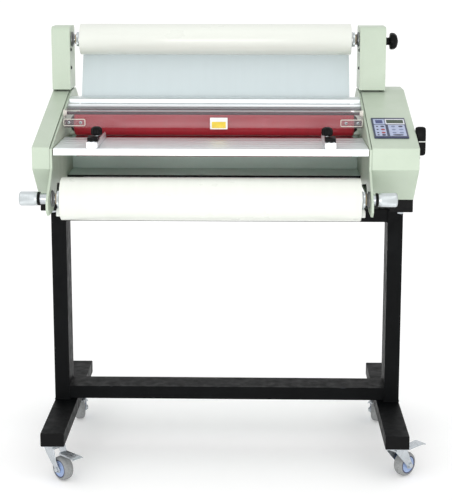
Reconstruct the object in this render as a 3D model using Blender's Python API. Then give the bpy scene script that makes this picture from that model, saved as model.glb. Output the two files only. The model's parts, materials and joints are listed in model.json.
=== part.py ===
"""Roll laminator on a wheeled stand: sheet-metal head, two pressure rollers, two film rolls.

Metres, +Z up, X to the operator's right, Y away from the operator, floor at z = 0.
Every dimension below is in design coordinates; the whole object hangs on one empty that
brings the middle of its width and depth to x = 0, y = 0.
"""
import math

import bmesh
import bpy
from mathutils import Matrix, Vector

# ---------------------------------------------------------------- driving dimensions
CENTRE = (0.00125, -0.01027)   # middle of the overall width and depth, in design coordinates
GAP = 0.0003               # clearance between pieces that touch
CUT_PAST = 0.002           # how far a cutter runs past the faces it opens

# Stand
BODY_HALF = 0.422          # half the width over the covers
LEG_OUT = 0.4045           # outer face of legs and feet
LEG_IN = 0.370             # inner face of legs
LEG_Y = (-0.042, 0.028)    # 70 mm deep tube
FOOT_WIDTH = 0.052
FOOT_Y = (-0.258, 0.242)
FOOT_Z = (0.078, 0.108)
LOWER_BAR_Z = (0.111, 0.141)
UPPER_BAR_Z = (0.5393, 0.5693)
BEAM_Y = (-0.075, 0.262)
BEAM_Z = (0.570, 0.600)
TUBE_WALL = 0.002

# Casters
CASTER_X = 0.3785
CASTER_FRONT_Y = -0.232
CASTER_REAR_Y = 0.150
TRAIL = 0.030
WHEEL_R = 0.027
WHEEL_W = 0.024
FORK_IN = 0.0142           # half the gap between the fork cheeks
FORK_T = 0.0022
FORK_TOP = 0.0744
PEDAL_HINGE = (0.0335, 0.0625)      # behind the pivot, above the floor
PEDAL_REACH = 0.0500

# Head: side plates, covers, arms
PLATE_T = 0.005
PLATE_L = -0.378           # inner face of the left side plate
PLATE_R = 0.3135           # inner face of the right side plate
SHEET = 0.0025
HEAD_BOTTOM = 0.6003
FRONT_Y = -0.174
REAR_Y = 0.280
TOP_Z = 0.823
TOP_Y = (0.150, 0.222)     # flat part of a cover's top
DECK_FRONT_Z = 0.731       # front fold of the sloped deck
FOOT_CHAMFER = (-0.085, 0.683)      # where the cover's front foot is cut off, along Y and up Z
REAR_CHAMFER_Z = 0.792
ARM_Y = (0.133, 0.217)
ARM_TOP = 0.974
ARM_CORNER = 0.012
ARM_OUT_R = 0.3755         # outer face of the right film arm
SHIELD_ROD = (0.004, 0.7835)
THIN_ROD_R = 0.0035

# Rollers and film
NIP_Z = 0.7265
UPPER_ROLLER_R = 0.0280
LOWER_ROLLER_R = 0.0245
ROLLER_Y = 0.041
JOURNAL_R = 0.010
RUNNING_GAP = 0.0006       # journal in a plate's hole
BEARING_GAP = 0.0004       # journal in a block or a gear
BLOCK_HALF = 0.0115        # half the side of a sliding bearing block
LIFT = 0.010               # how far the pressure lever raises the upper roller
FILM_MID_X = -0.031        # middle of rollers and film rolls
FILM_HALF = 0.325
TOP_ROLL_Y = 0.168
TOP_ROLL_Z = 0.942
TOP_ROLL_R = 0.0372
LOW_ROLL_Y = -0.190
LOW_ROLL_Z = 0.6205
LOW_ROLL_R = 0.0468
CORE_R = 0.0145
CHUCK_R = 0.0185
SHAFT_R = 0.008
WEB_BEND = (0.1450, 0.7925)         # where the web turns under the rail
WEB_T = 0.0008

# Drive: gear on the lower roller's journal, half-size pinion on the motor
MODULE = 0.0028
GEAR_TEETH = 20
PINION_TEETH = 10
GEAR_X = (0.3270, 0.3350)
MOTOR_END = 0.412

# Table and side guides
TABLE_TOP = 0.7285
TABLE_Y = (-0.174, -0.004)
TABLE_T = 0.015
TABLE_REAR_T = 0.012
GUIDE_X = (-0.279, 0.2175)          # sheet side of each fence
FENCE_T = 0.0035
FENCE_H = 0.0125
GUIDE_SHOE = (-0.172, -0.155, 0.0130)       # front, rear and height of the shoe
GUIDE_CLAMP = (-0.155, -0.118, 0.0212)      # front, rear and height of the clamp behind it
GUIDE_WIDTH = 0.0235
KNOB_AT = (0.0055, -0.132)          # outwards from the fence, and along Y

# Controls
PANEL_X = 0.366
PANEL_Y = -0.0725
PANEL_HALF = (0.038, 0.0545)
PANEL_T = 0.003
LEVER_AT = (-0.086, 0.7340)
LEVER_T = 0.0225


# ---------------------------------------------------------------- general helpers
def start_clean():
    for item in list(bpy.data.objects):
        bpy.data.objects.remove(item, do_unlink=True)


def make_material(name, colour, roughness, metallic=0.0, alpha=1.0):
    material = bpy.data.materials.new(name)
    material.use_nodes = True
    shader = material.node_tree.nodes["Principled BSDF"]
    shader.inputs["Base Color"].default_value = (*colour, 1.0)
    shader.inputs["Roughness"].default_value = roughness
    shader.inputs["Metallic"].default_value = metallic
    shader.inputs["Alpha"].default_value = alpha
    return material


FINISHES = {
    "paint": ((0.80, 0.84, 0.76), 0.45, 0.0),
    "paint_black": ((0.03, 0.03, 0.032), 0.4, 0.0),
    "panel_grey": ((0.22, 0.29, 0.25), 0.55, 0.0),
    "aluminium": ((0.80, 0.81, 0.82), 0.35, 1.0),
    "steel": ((0.62, 0.62, 0.62), 0.3, 1.0),
    "zinc": ((0.72, 0.74, 0.76), 0.32, 1.0),
    "silicone": ((0.36, 0.03, 0.04), 0.5, 0.0),
    "film": ((0.90, 0.92, 0.91), 0.3, 0.0),
    "clear": ((0.85, 0.88, 0.88), 0.1, 0.0),
    "black_plastic": ((0.02, 0.02, 0.022), 0.4, 0.0),
    "tread": ((0.45, 0.46, 0.47), 0.6, 0.0),
    "nylon": ((0.75, 0.74, 0.68), 0.5, 0.0),
    "keypad": ((0.20, 0.22, 0.50), 0.35, 0.0),
}


def add_object(name, build, finish, at=(0.0, 0.0, 0.0), turn=(0.0, 0.0, 0.0), parent=None):
    """Make one named object; build(bm) fills a mesh in the object's own coordinates."""
    bm = bmesh.new()
    build(bm)
    bmesh.ops.remove_doubles(bm, verts=bm.verts, dist=1e-6)
    bmesh.ops.recalc_face_normals(bm, faces=bm.faces)
    mesh = bpy.data.meshes.new(name)
    bm.to_mesh(mesh)
    bm.free()
    item = bpy.data.objects.new(name, mesh)
    bpy.context.collection.objects.link(item)
    item.data.materials.append(make_material(name, *FINISHES[finish]))
    item.location = at
    item.rotation_euler = turn
    item.parent = parent
    return item


def smooth(item, angle=35.0):
    item.data.shade_smooth()
    item.data.set_sharp_from_angle(angle=math.radians(angle))
    return item


def add_prism(bm, outline, axis, low, high):
    """Extrude a closed outline along an axis. Its points run along the other two axes in order."""
    others = [i for i in range(3) if i != axis]
    ends = []
    for level in (low, high):
        ring = []
        for point in outline:
            spot = [0.0, 0.0, 0.0]
            spot[axis] = level
            spot[others[0]], spot[others[1]] = point
            ring.append(bm.verts.new(spot))
        ends.append(ring)
    count = len(outline)
    bm.faces.new(ends[0])
    bm.faces.new(reversed(ends[1]))
    for i in range(count):
        j = (i + 1) % count
        bm.faces.new((ends[0][i], ends[0][j], ends[1][j], ends[1][i]))


def rectangle(low_a, high_a, low_b, high_b):
    return [(low_a, low_b), (high_a, low_b), (high_a, high_b), (low_a, high_b)]


def add_box(bm, x, y, z):
    add_prism(bm, rectangle(*y, *z), 0, *x)


def box_object(name, x, y, z, finish, parent):
    """A box with its origin in its middle."""
    middle = Vector(((x[0] + x[1]) / 2, (y[0] + y[1]) / 2, (z[0] + z[1]) / 2))

    def build(bm):
        add_box(bm, x, y, z)
        bmesh.ops.translate(bm, verts=bm.verts, vec=-middle)

    return add_object(name, build, finish, middle, parent=parent)


def add_ring_prism(bm, outer, inner, axis, low, high):
    """Extrude the band between two outlines with the same number of points: an open tube."""
    others = [i for i in range(3) if i != axis]
    rings = []
    for level, outline in ((low, outer), (high, outer), (high, inner), (low, inner)):
        ring = []
        for point in outline:
            spot = [0.0, 0.0, 0.0]
            spot[axis] = level
            spot[others[0]], spot[others[1]] = point
            ring.append(bm.verts.new(spot))
        rings.append(ring)
    count = len(outer)
    for r in range(4):
        first, second = rings[r], rings[(r + 1) % 4]
        for i in range(count):
            j = (i + 1) % count
            bm.faces.new((first[i], first[j], second[j], second[i]))


def tube_object(name, axis, spans, finish, parent, wall=TUBE_WALL):
    """A rectangular tube, open at both ends; spans are its X, Y and Z limits."""
    middle = Vector([(low + high) / 2 for low, high in spans])
    across = [spans[i] for i in range(3) if i != axis]
    (a0, a1), (b0, b1) = across

    def build(bm):
        outer = rectangle(a0, a1, b0, b1)
        inner = rectangle(a0 + wall, a1 - wall, b0 + wall, b1 - wall)
        add_ring_prism(bm, outer, inner, axis, *spans[axis])
        bmesh.ops.translate(bm, verts=bm.verts, vec=-middle)

    return add_object(name, build, finish, middle, parent=parent)


def add_turned(bm, profile, segments, closed=False):
    """Turn (along, radius) points about X. A closed profile makes a tube, else the ends are capped."""
    rings = []
    for along, radius in profile:
        ring = []
        for i in range(segments):
            angle = 2 * math.pi * i / segments
            ring.append(bm.verts.new((along, radius * math.cos(angle), radius * math.sin(angle))))
        rings.append(ring)
    pairs = list(zip(rings, rings[1:]))
    if closed:
        pairs.append((rings[-1], rings[0]))
    else:
        bm.faces.new(rings[0])
        bm.faces.new(reversed(rings[-1]))
    for first, second in pairs:
        for i in range(segments):
            j = (i + 1) % segments
            bm.faces.new((first[i], first[j], second[j], second[i]))


def turned_object(name, profile, finish, at, parent, segments=32, closed=False, turn=(0, 0, 0)):
    item = add_object(name, lambda bm: add_turned(bm, profile, segments, closed),
                      finish, at, turn, parent)
    return smooth(item)


def add_empty(name, at, parent, turn=(0.0, 0.0, 0.0)):
    item = bpy.data.objects.new(name, None)
    bpy.context.collection.objects.link(item)
    item.empty_display_size = 0.03
    item.location = at
    item.rotation_euler = turn
    item.parent = parent
    return item


def add_cutter(name, build, at, parent):
    item = add_object(name, build, "steel", at, parent=parent)
    item.hide_render = True
    item.display_type = "WIRE"
    return item


def cut(item, cutter):
    modifier = item.modifiers.new("cut", "BOOLEAN")
    modifier.operation = "DIFFERENCE"
    modifier.object = cutter


def arc(centre, radius, start, end, steps):
    """Points of an arc in degrees, both ends included."""
    points = []
    for i in range(steps + 1):
        angle = math.radians(start + (end - start) * i / steps)
        points.append((centre[0] + radius * math.cos(angle), centre[1] + radius * math.sin(angle)))
    return points


# ---------------------------------------------------------------- stand
def make_stand(root):
    for side, name in ((-1, "left"), (1, "right")):
        inner_foot = side * (LEG_OUT - FOOT_WIDTH)
        foot_x = sorted((side * LEG_OUT, inner_foot))
        leg_x = sorted((side * LEG_OUT, side * LEG_IN))
        beam_x = sorted((side * BODY_HALF, side * LEG_IN))
        tube_object(f"stand_foot_{name}", 1, (foot_x, FOOT_Y, FOOT_Z), "paint_black", root)
        tube_object(f"stand_leg_{name}", 2, (leg_x, LEG_Y, (FOOT_Z[1] + GAP, BEAM_Z[0] - GAP)),
                    "paint_black", root)
        tube_object(f"stand_top_beam_{name}", 1, (beam_x, BEAM_Y, BEAM_Z), "paint_black", root)
    bar_x = (-LEG_IN + GAP, LEG_IN - GAP)
    tube_object("stand_crossbar_upper", 0, (bar_x, LEG_Y, UPPER_BAR_Z), "paint_black", root)
    tube_object("stand_crossbar_lower", 0, (bar_x, LEG_Y, LOWER_BAR_Z), "paint_black", root)


# ---------------------------------------------------------------- casters
def build_caster_plate(bm):
    """Square mounting plate under the foot."""
    half = 0.0235
    top = FOOT_Z[0] - GAP
    add_box(bm, (-half, half), (-half, half), (top - 0.003, top))


def add_loft(bm, first, second):
    """Join two closed outlines of the same number of points into one solid."""
    near = [bm.verts.new(spot) for spot in first]
    far = [bm.verts.new(spot) for spot in second]
    bm.faces.new(near)
    bm.faces.new(reversed(far))
    for i in range(len(near)):
        j = (i + 1) % len(near)
        bm.faces.new((near[i], near[j], far[j], far[i]))


def build_fork(bm):
    """Inverted U from the swivel race down to the axle, leaning back along +X by the trail."""
    bottom = WHEEL_R - 0.0045
    outer, inner = FORK_IN + FORK_T, FORK_IN
    crown = FORK_TOP - 0.007
    outline = [(-outer, bottom), (-inner, bottom), (-inner, crown), (inner, crown),
               (inner, bottom), (outer, bottom), (outer, FORK_TOP), (-outer, FORK_TOP)]

    def edge(top_reach, axle_reach):
        points = []
        for across, height in outline:
            lean = (FORK_TOP - height) / (FORK_TOP - WHEEL_R)
            points.append((top_reach + (axle_reach - top_reach) * lean, across, height))
        return points

    add_loft(bm, edge(-0.019, TRAIL - 0.010), edge(0.022, TRAIL + 0.009))


def build_pedal(bm):
    """Brake pedal: a tongue behind the fork, in its own frame with the hinge at the origin."""
    side = [(-0.004, -0.0040), (0.006, -0.0045), (PEDAL_REACH, 0.0005), (PEDAL_REACH + 0.0015, 0.0045),
            (0.008, 0.0040), (-0.004, 0.0040)]
    half = FORK_IN - 0.0010
    add_loft(bm, [(x, -half, z) for x, z in side], [(x, half, z) for x, z in side])


def wheel_profile():
    """Half section of the wheel: hub face, disc, rounded tread."""
    half, rim = WHEEL_W / 2, 0.005
    shoulder = arc((half - rim, WHEEL_R - rim), rim, 90, 0, 3)
    side = [(half - 0.002, 0.019), (half - 0.002, 0.012), (half, 0.011), (half, 0.007)]
    right = shoulder + side
    left = [(-along, radius) for along, radius in reversed(right)]
    return left + right


CASTERS = (("front_left", -CASTER_X, CASTER_FRONT_Y, -44.0),
           ("front_right", CASTER_X, CASTER_FRONT_Y, 42.0),
           ("rear_left", -CASTER_X, CASTER_REAR_Y, -75.0),
           ("rear_right", CASTER_X, CASTER_REAR_Y, -105.0))


def make_casters(root):
    """Each caster hangs on an empty on its swivel axis, turned to its heading."""
    for name, x, y, heading in CASTERS:
        pivot = add_empty(f"swivel_{name}", (x, y, 0.0), root, (0.0, 0.0, math.radians(heading)))
        add_object(f"caster_plate_{name}", build_caster_plate, "zinc", (x, y, 0.0), parent=root)
        add_object(f"caster_fork_{name}", build_fork, "zinc", parent=pivot)
        turned_object(f"caster_wheel_{name}", wheel_profile(), "tread", (TRAIL, 0.0, WHEEL_R), pivot,
                      turn=(0.0, 0.0, math.pi / 2))
        add_object(f"caster_brake_{name}", build_pedal, "zinc",
                   (PEDAL_HINGE[0], 0.0, PEDAL_HINGE[1]), parent=pivot)


# ---------------------------------------------------------------- head
def cover_outline():
    """Side view of a cover: upright front, sloped deck, flat top, chamfered front foot."""
    return [(FOOT_CHAMFER[0], HEAD_BOTTOM), (FRONT_Y, FOOT_CHAMFER[1]), (FRONT_Y, DECK_FRONT_Z),
            (TOP_Y[0], TOP_Z), (TOP_Y[1], TOP_Z), (REAR_Y, REAR_CHAMFER_Z), (REAR_Y, HEAD_BOTTOM)]


def plate_outline():
    """Side plate: fills the cover's opening; its lug in front and below carries the lower film."""
    inset = SHEET + GAP + 0.001
    rear, top, front = REAR_Y - inset, TOP_Z - inset, FRONT_Y + 0.001
    cover = [(0.100, HEAD_BOTTOM), (rear, HEAD_BOTTOM), (rear, REAR_CHAMFER_Z - inset),
             (TOP_Y[1], top), (TOP_Y[0], top), (front, DECK_FRONT_Z - inset)]
    lug = [(front, 0.683), (-0.200, 0.657), (-0.243, 0.625), (-0.243, 0.603), (-0.228, 0.590),
           (-0.170, 0.590), (-0.140, 0.603), (-0.105, 0.640)]
    return cover + lug


def shell_object(name, outline, spans_x, open_at, finish, root):
    """Folded sheet box from a side outline, open at one face: open_at(centre) picks that face."""
    def build(bm):
        add_prism(bm, outline, 0, *spans_x)
        open_side = [f for f in bm.faces if open_at(f.calc_center_median())]
        bmesh.ops.delete(bm, geom=open_side, context="FACES_ONLY")

    item = add_object(name, build, finish, parent=root)
    modifier = item.modifiers.new("sheet", "SOLIDIFY")
    modifier.thickness = SHEET
    modifier.offset = -1.0
    modifier.use_even_offset = True
    return item


def arm_outline():
    """Upright arm that carries the top film roll, with rounded top corners."""
    low = TOP_Z + GAP
    front, rear = ARM_Y
    r = ARM_CORNER
    return ([(front, low), (rear, low)] + arc((rear - r, ARM_TOP - r), r, 0, 90, 3)
            + arc((front + r, ARM_TOP - r), r, 90, 180, 3))


def make_covers(root):
    sides = (("side_cover_left", PLATE_L - PLATE_T - GAP, -BODY_HALF),
             ("side_housing_right", PLATE_R + PLATE_T + GAP, BODY_HALF))
    for name, inner, outer in sides:
        shell_object(name, cover_outline(), (inner, outer), lambda c, x=inner: abs(c.x - x) < 1e-6,
                     "paint", root)
    arms = (("film_arm_left", (-BODY_HALF, PLATE_L)), ("film_arm_right", (PLATE_R, ARM_OUT_R)))
    for name, x in arms:
        shell_object(name, arm_outline(), x, lambda c: c.z < TOP_Z + 2 * GAP, "paint", root)


def upper_axis_z():
    return NIP_Z + GAP + UPPER_ROLLER_R


def lower_axis_z():
    return NIP_Z - GAP - LOWER_ROLLER_R


def make_side_plates(root):
    """Load-bearing plates: a round hole for the lower journal, a slot for the sliding bearing."""
    slot_y = (ROLLER_Y - BLOCK_HALF - GAP, ROLLER_Y + BLOCK_HALF + GAP)
    slot_z = (upper_axis_z() - BLOCK_HALF - GAP, upper_axis_z() + BLOCK_HALF + LIFT + GAP)
    for name, x in (("side_plate_left", (PLATE_L - PLATE_T, PLATE_L)),
                    ("side_plate_right", (PLATE_R, PLATE_R + PLATE_T))):
        plate = add_object(name, lambda bm, x=x: add_prism(bm, plate_outline(), 0, *x),
                           "paint", parent=root)
        reach = (x[0] - CUT_PAST, x[1] + CUT_PAST)
        hole = [(along, JOURNAL_R + RUNNING_GAP) for along in reach]
        cut(plate, add_cutter(f"{name}_hole", lambda bm, p=hole: add_turned(bm, p, 24),
                              (0.0, ROLLER_Y, lower_axis_z()), root))
        cut(plate, add_cutter(f"{name}_slot", lambda bm, r=reach: add_box(bm, r, slot_y, slot_z),
                              (0.0, 0.0, 0.0), root))


def thin_rod(name, at, root):
    """Round steel rod that spans the two side plates."""
    profile = [(PLATE_L + GAP, THIN_ROD_R), (PLATE_R - GAP, THIN_ROD_R)]
    turned_object(name, profile, "steel", at, root, 16)


def make_cross_members(root):
    span = (PLATE_L + GAP, PLATE_R - GAP)
    box_object("lower_rear_panel", span, (0.141, 0.1435), (0.6315, 0.7205), "panel_grey", root)
    box_object("base_pan", span, (0.045, 0.258), (0.6270, 0.6310), "paint_black", root)
    rail = [(0.100, 0.7950), (0.134, 0.7950), (0.134, 0.8075), (0.106, 0.8075), (0.100, 0.8045)]
    add_object("top_rail", lambda bm: add_prism(bm, rail, 0, *span), "aluminium", parent=root)
    shelf = [(0.085, 0.7240), (0.2650, 0.7240), (0.2650, 0.6190), (0.2625, 0.6190),
             (0.2625, 0.7215), (0.085, 0.7215)]
    add_object("exit_shelf", lambda bm: add_prism(bm, shelf, 0, *span), "paint", parent=root)
    thin_rod("lower_idler_rod", (0.0, 0.040, 0.6235), root)


# ---------------------------------------------------------------- shield
def make_shield(root):
    """Clear guard that hangs on a rod in front of the upper roller."""
    thin_rod("shield_rod", (0.0, *SHIELD_ROD), root)
    outer = [(0.004, 0.0085), (-0.009, 0.0060), (-0.016, -0.008), (-0.0195, -0.032)]
    inner = [(-0.0165, -0.032), (-0.0130, -0.009), (-0.0070, 0.0032), (0.004, 0.0055)]
    outline = outer + inner
    edges = (PLATE_L + 0.003, PLATE_R - 0.003)
    add_object("roller_shield", lambda bm: add_prism(bm, outline, 0, *edges), "clear",
               (0.0, *SHIELD_ROD), parent=root)


# ---------------------------------------------------------------- rollers and drive
def roller_profile(ends, radius):
    """Rubber-covered roller with a steel journal at each side."""
    left, right = FILM_MID_X - FILM_HALF, FILM_MID_X + FILM_HALF
    edge = 0.003
    return [(ends[0], JOURNAL_R), (left, JOURNAL_R), (left, radius - edge), (left + edge, radius),
            (right - edge, radius), (right, radius - edge), (right, JOURNAL_R), (ends[1], JOURNAL_R)]


def add_gear(bm, teeth, bore=None):
    """Spur gear about X with straight-flanked teeth, one of them centred on +Y."""
    pitch_r = MODULE * teeth / 2
    tip, root_r = pitch_r + 0.5 * MODULE, pitch_r - 0.65 * MODULE
    outline = []
    for i in range(teeth):
        for part, radius in ((-0.31, root_r), (-0.13, tip), (0.13, tip), (0.31, root_r)):
            angle = (i + part) * 2 * math.pi / teeth
            outline.append((radius * math.cos(angle), radius * math.sin(angle)))
    if bore is None:
        add_prism(bm, outline, 0, *GEAR_X)
        return
    hole = []
    for i in range(len(outline)):
        angle = 2 * math.pi * (i / len(outline) - 0.31 / teeth)
        hole.append((bore * math.cos(angle), bore * math.sin(angle)))
    add_ring_prism(bm, outline, hole, 0, *GEAR_X)


def make_bearing_blocks(root):
    """Square blocks that carry the upper journals and slide up in the plates' slots."""
    for name, x in (("bearing_block_left", (PLATE_L - PLATE_T, PLATE_L)),
                    ("bearing_block_right", (PLATE_R, PLATE_R + PLATE_T))):
        sides = (-BLOCK_HALF, BLOCK_HALF)
        at = (0.0, ROLLER_Y, upper_axis_z())
        block = add_object(name, lambda bm, x=x: add_box(bm, x, sides, sides), "nylon", at,
                           parent=root)
        bore = [(along, JOURNAL_R + BEARING_GAP) for along in (x[0] - CUT_PAST, x[1] + CUT_PAST)]
        cut(block, add_cutter(f"{name}_bore", lambda bm, p=bore: add_turned(bm, p, 24), at, root))


def make_rollers(root):
    ends = (PLATE_L - PLATE_T - 0.004, GEAR_X[1] + 0.002)
    for name, z, radius in (("pressure_roller_lower", lower_axis_z(), LOWER_ROLLER_R),
                            ("pressure_roller_upper", upper_axis_z(), UPPER_ROLLER_R)):
        turned_object(name, roller_profile(ends, radius), "silicone", (0.0, ROLLER_Y, z), root, 40)
    make_bearing_blocks(root)
    add_object("drive_gear", lambda bm: add_gear(bm, GEAR_TEETH, JOURNAL_R + BEARING_GAP), "steel",
               (0.0, ROLLER_Y, lower_axis_z()), parent=root)


def make_drive(root):
    """Geared motor in the right housing; its pinion meshes three teeth below the lower gear's front."""
    distance = MODULE * (GEAR_TEETH + PINION_TEETH) / 2
    angle = -3 * 2 * math.pi / GEAR_TEETH
    y = ROLLER_Y + distance * math.cos(angle)
    z = lower_axis_z() + distance * math.sin(angle)
    add_object("motor_pinion", lambda bm: add_gear(bm, PINION_TEETH), "nylon", (0.0, y, z), parent=root)
    motor = [(-0.030, -0.024), (0.030, -0.024), (0.036, -0.018), (0.036, 0.018), (0.030, 0.024),
             (-0.030, 0.024), (-0.036, 0.018), (-0.036, -0.018)]
    add_object("drive_motor", lambda bm: add_prism(bm, motor, 0, GEAR_X[1] + 0.001, MOTOR_END), "steel",
               (0.0, y, z - 0.008), parent=root)


# ---------------------------------------------------------------- film rolls
def make_film(root):
    left, right = FILM_MID_X - FILM_HALF, FILM_MID_X + FILM_HALF
    top_at = (0.0, TOP_ROLL_Y, TOP_ROLL_Z)
    low_at = (0.0, LOW_ROLL_Y, LOW_ROLL_Z)
    for name, at, radius in (("film_roll_top", top_at, TOP_ROLL_R),
                             ("film_roll_lower", low_at, LOW_ROLL_R)):
        profile = [(left, CORE_R), (left, radius), (right, radius), (right, CORE_R)]
        turned_object(name, profile, "film", at, root, 48, closed=True)
    bore = CORE_R - RUNNING_GAP
    near, far = 0.001, 0.013           # faces of a chuck beyond the end of the film
    ends = (PLATE_L + 0.0008, PLATE_R - 0.0008)
    for name, at in (("film_shaft_top", top_at), ("film_shaft_lower", low_at)):
        profile = [(ends[0], SHAFT_R), (left - far, SHAFT_R), (left - far, CHUCK_R),
                   (left - near, CHUCK_R), (left - near, bore), (right + near, bore),
                   (right + near, CHUCK_R), (right + far, CHUCK_R), (right + far, SHAFT_R),
                   (ends[1], SHAFT_R)]
        turned_object(name, profile, "steel", at, root, 32)
    make_film_web(root, left + 0.002, right - 0.002)


def tangent_point(outside, centre, radius):
    """Where a taut line from a point behind and below touches the back of a round roll."""
    reach = outside - centre
    angle = math.acos(radius / reach.length)
    return centre + Matrix.Rotation(angle, 2) @ reach.normalized() * radius


def make_film_web(root, left, right):
    """Taut film from the back of the top roll, under the rail, to the back of the upper roller."""
    bend = Vector(WEB_BEND)
    start = tangent_point(bend, Vector((TOP_ROLL_Y, TOP_ROLL_Z)), TOP_ROLL_R + 2 * GAP)
    end = Vector((ROLLER_Y + UPPER_ROLLER_R + 0.0015, upper_axis_z() + 0.006))
    path = ((start, (WEB_T, 0.0)), (bend, (WEB_T, -WEB_T)), (end, (0.0, -WEB_T)))
    outline = [tuple(p) for p, _ in path] + [tuple(p + Vector(d)) for p, d in reversed(path)]
    add_object("film_web_top", lambda bm: add_prism(bm, outline, 0, left, right), "film",
               parent=root)


def make_film_knobs(root):
    """Brake knob of the top shaft and the two round tension knobs of the lower shaft."""
    knob = [(0.0, 0.0085), (0.010, 0.0085), (0.012, 0.0190), (0.016, 0.0205), (0.024, 0.0195),
            (0.029, 0.0150), (0.0305, 0.0080)]
    turned_object("film_brake_knob_top", knob, "black_plastic",
                  (ARM_OUT_R + GAP, TOP_ROLL_Y, TOP_ROLL_Z - 0.004), root, 32)
    lower = (("film_tension_knob_left", PLATE_L - PLATE_T - GAP, -0.404, -0.448),
             ("film_tension_knob_right", PLATE_R + PLATE_T + GAP, 0.3280, 0.3735))
    for name, inner, shoulder, end in lower:
        step = math.copysign(0.0015, end)
        profile = [(inner, 0.0090), (shoulder, 0.0090), (shoulder, 0.0145), (shoulder + step, 0.0155),
                   (end - step, 0.0155), (end, 0.0140)]
        turned_object(name, profile, "aluminium", (0.0, LOW_ROLL_Y, LOW_ROLL_Z), root, 32)


# ---------------------------------------------------------------- table, guides, controls
def table_outline():
    """Side view of the table extrusion: lips down at both edges, five grooves in its top."""
    front, rear = TABLE_Y
    skin, lip, wide, deep = 0.0040, 0.003, 0.0020, 0.0010
    top, under = TABLE_TOP, TABLE_TOP - skin
    outline = [(front, top - TABLE_T), (front + lip, top - TABLE_T), (front + lip, under),
               (rear - lip, under), (rear - lip, top - TABLE_REAR_T), (rear, top - TABLE_REAR_T),
               (rear, top)]
    for place in (0.85, 0.67, 0.49, 0.31, 0.13):
        y = front + (rear - front) * place
        outline += [(y + wide, top), (y + wide, top - deep), (y - wide, top - deep), (y - wide, top)]
    return outline + [(front, top)]


def join(item, helper):
    modifier = item.modifiers.new("join", "BOOLEAN")
    modifier.operation = "UNION"
    modifier.object = helper


def make_guide(name, fence_x, side, root):
    """Side guide on the table: a low shoe, the taller clamp behind it and a fence along the sheet."""
    low = TABLE_TOP + GAP
    shoe_top, clamp_top = low + GUIDE_SHOE[2], low + GUIDE_CLAMP[2]
    body = [(GUIDE_SHOE[0], low), (GUIDE_CLAMP[1], low), (GUIDE_CLAMP[1], clamp_top),
            (GUIDE_CLAMP[0], clamp_top), (GUIDE_SHOE[1], shoe_top), (GUIDE_SHOE[0], shoe_top)]
    reach = sorted((side * FENCE_T * 0.5, side * GUIDE_WIDTH))
    item = add_object(name, lambda bm: add_prism(bm, body, 0, *reach), "aluminium",
                      (fence_x, 0.0, 0.0), parent=root)
    spans = (sorted((0.0, side * FENCE_T)), (TABLE_Y[0] + 0.004, TABLE_Y[1] - 0.004),
             (low, low + FENCE_H))
    join(item, add_cutter(f"{name}_fence", lambda bm: add_box(bm, *spans), (fence_x, 0.0, 0.0), root))
    knob = [(0.0, 0.0100), (0.0020, 0.0100), (0.0032, 0.0120), (0.0150, 0.01275), (0.0190, 0.0125),
            (0.0212, 0.0105)]
    turned_object(f"{name}_knob", knob, "black_plastic",
                  (fence_x + side * KNOB_AT[0], KNOB_AT[1], clamp_top + GAP), root, 24,
                  turn=(0.0, -math.pi / 2, 0.0))


def make_table(root):
    span = (PLATE_L + 0.003, PLATE_R - 0.002)
    add_object("feed_table", lambda bm: add_prism(bm, table_outline(), 0, *span), "aluminium",
               parent=root)
    make_guide("side_guide_left", GUIDE_X[0], -1, root)
    make_guide("side_guide_right", GUIDE_X[1], 1, root)


def make_controls(root):
    """Keypad panel on the sloped deck and the pressure lever on the housing's outer face."""
    slope = math.atan2(TOP_Z - DECK_FRONT_Z, TOP_Y[0] - FRONT_Y)
    deck_z = DECK_FRONT_Z + (PANEL_Y - FRONT_Y) * math.tan(slope)
    lift = GAP + PANEL_T / 2
    at = (PANEL_X, PANEL_Y - lift * math.sin(slope), deck_z + lift * math.cos(slope))
    spans = [(-half, half) for half in (*PANEL_HALF, PANEL_T / 2)]
    add_object("control_panel", lambda bm: add_box(bm, *spans), "keypad", at, (slope, 0.0, 0.0), root)
    bar = arc((0.0, 0.021), 0.0115, 0, 180, 6) + arc((0.0, -0.021), 0.0115, 180, 360, 6)
    face = BODY_HALF + GAP
    add_object("pressure_lever", lambda bm: add_prism(bm, bar, 0, face, face + LEVER_T),
               "black_plastic", (0.0, *LEVER_AT), parent=root)


# ---------------------------------------------------------------- the whole object
def main():
    start_clean()
    root = add_empty("laminator", (-CENTRE[0], -CENTRE[1], 0.0), None)
    make_stand(root)
    make_casters(root)
    make_covers(root)
    make_side_plates(root)
    make_cross_members(root)
    make_shield(root)
    make_rollers(root)
    make_drive(root)
    make_film(root)
    make_film_knobs(root)
    make_table(root)
    make_controls(root)


main()
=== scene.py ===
"""Looks of the roll laminator: fine pieces, finishes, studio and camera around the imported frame.

Metres, +Z up, X to the operator's right, Y away from the operator. Places come from the
frame's own parts, and every piece rides on the body that it belongs to.
"""
import json
import math
from contextlib import contextmanager

import bmesh
import bpy
from mathutils import Matrix, Vector

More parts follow.
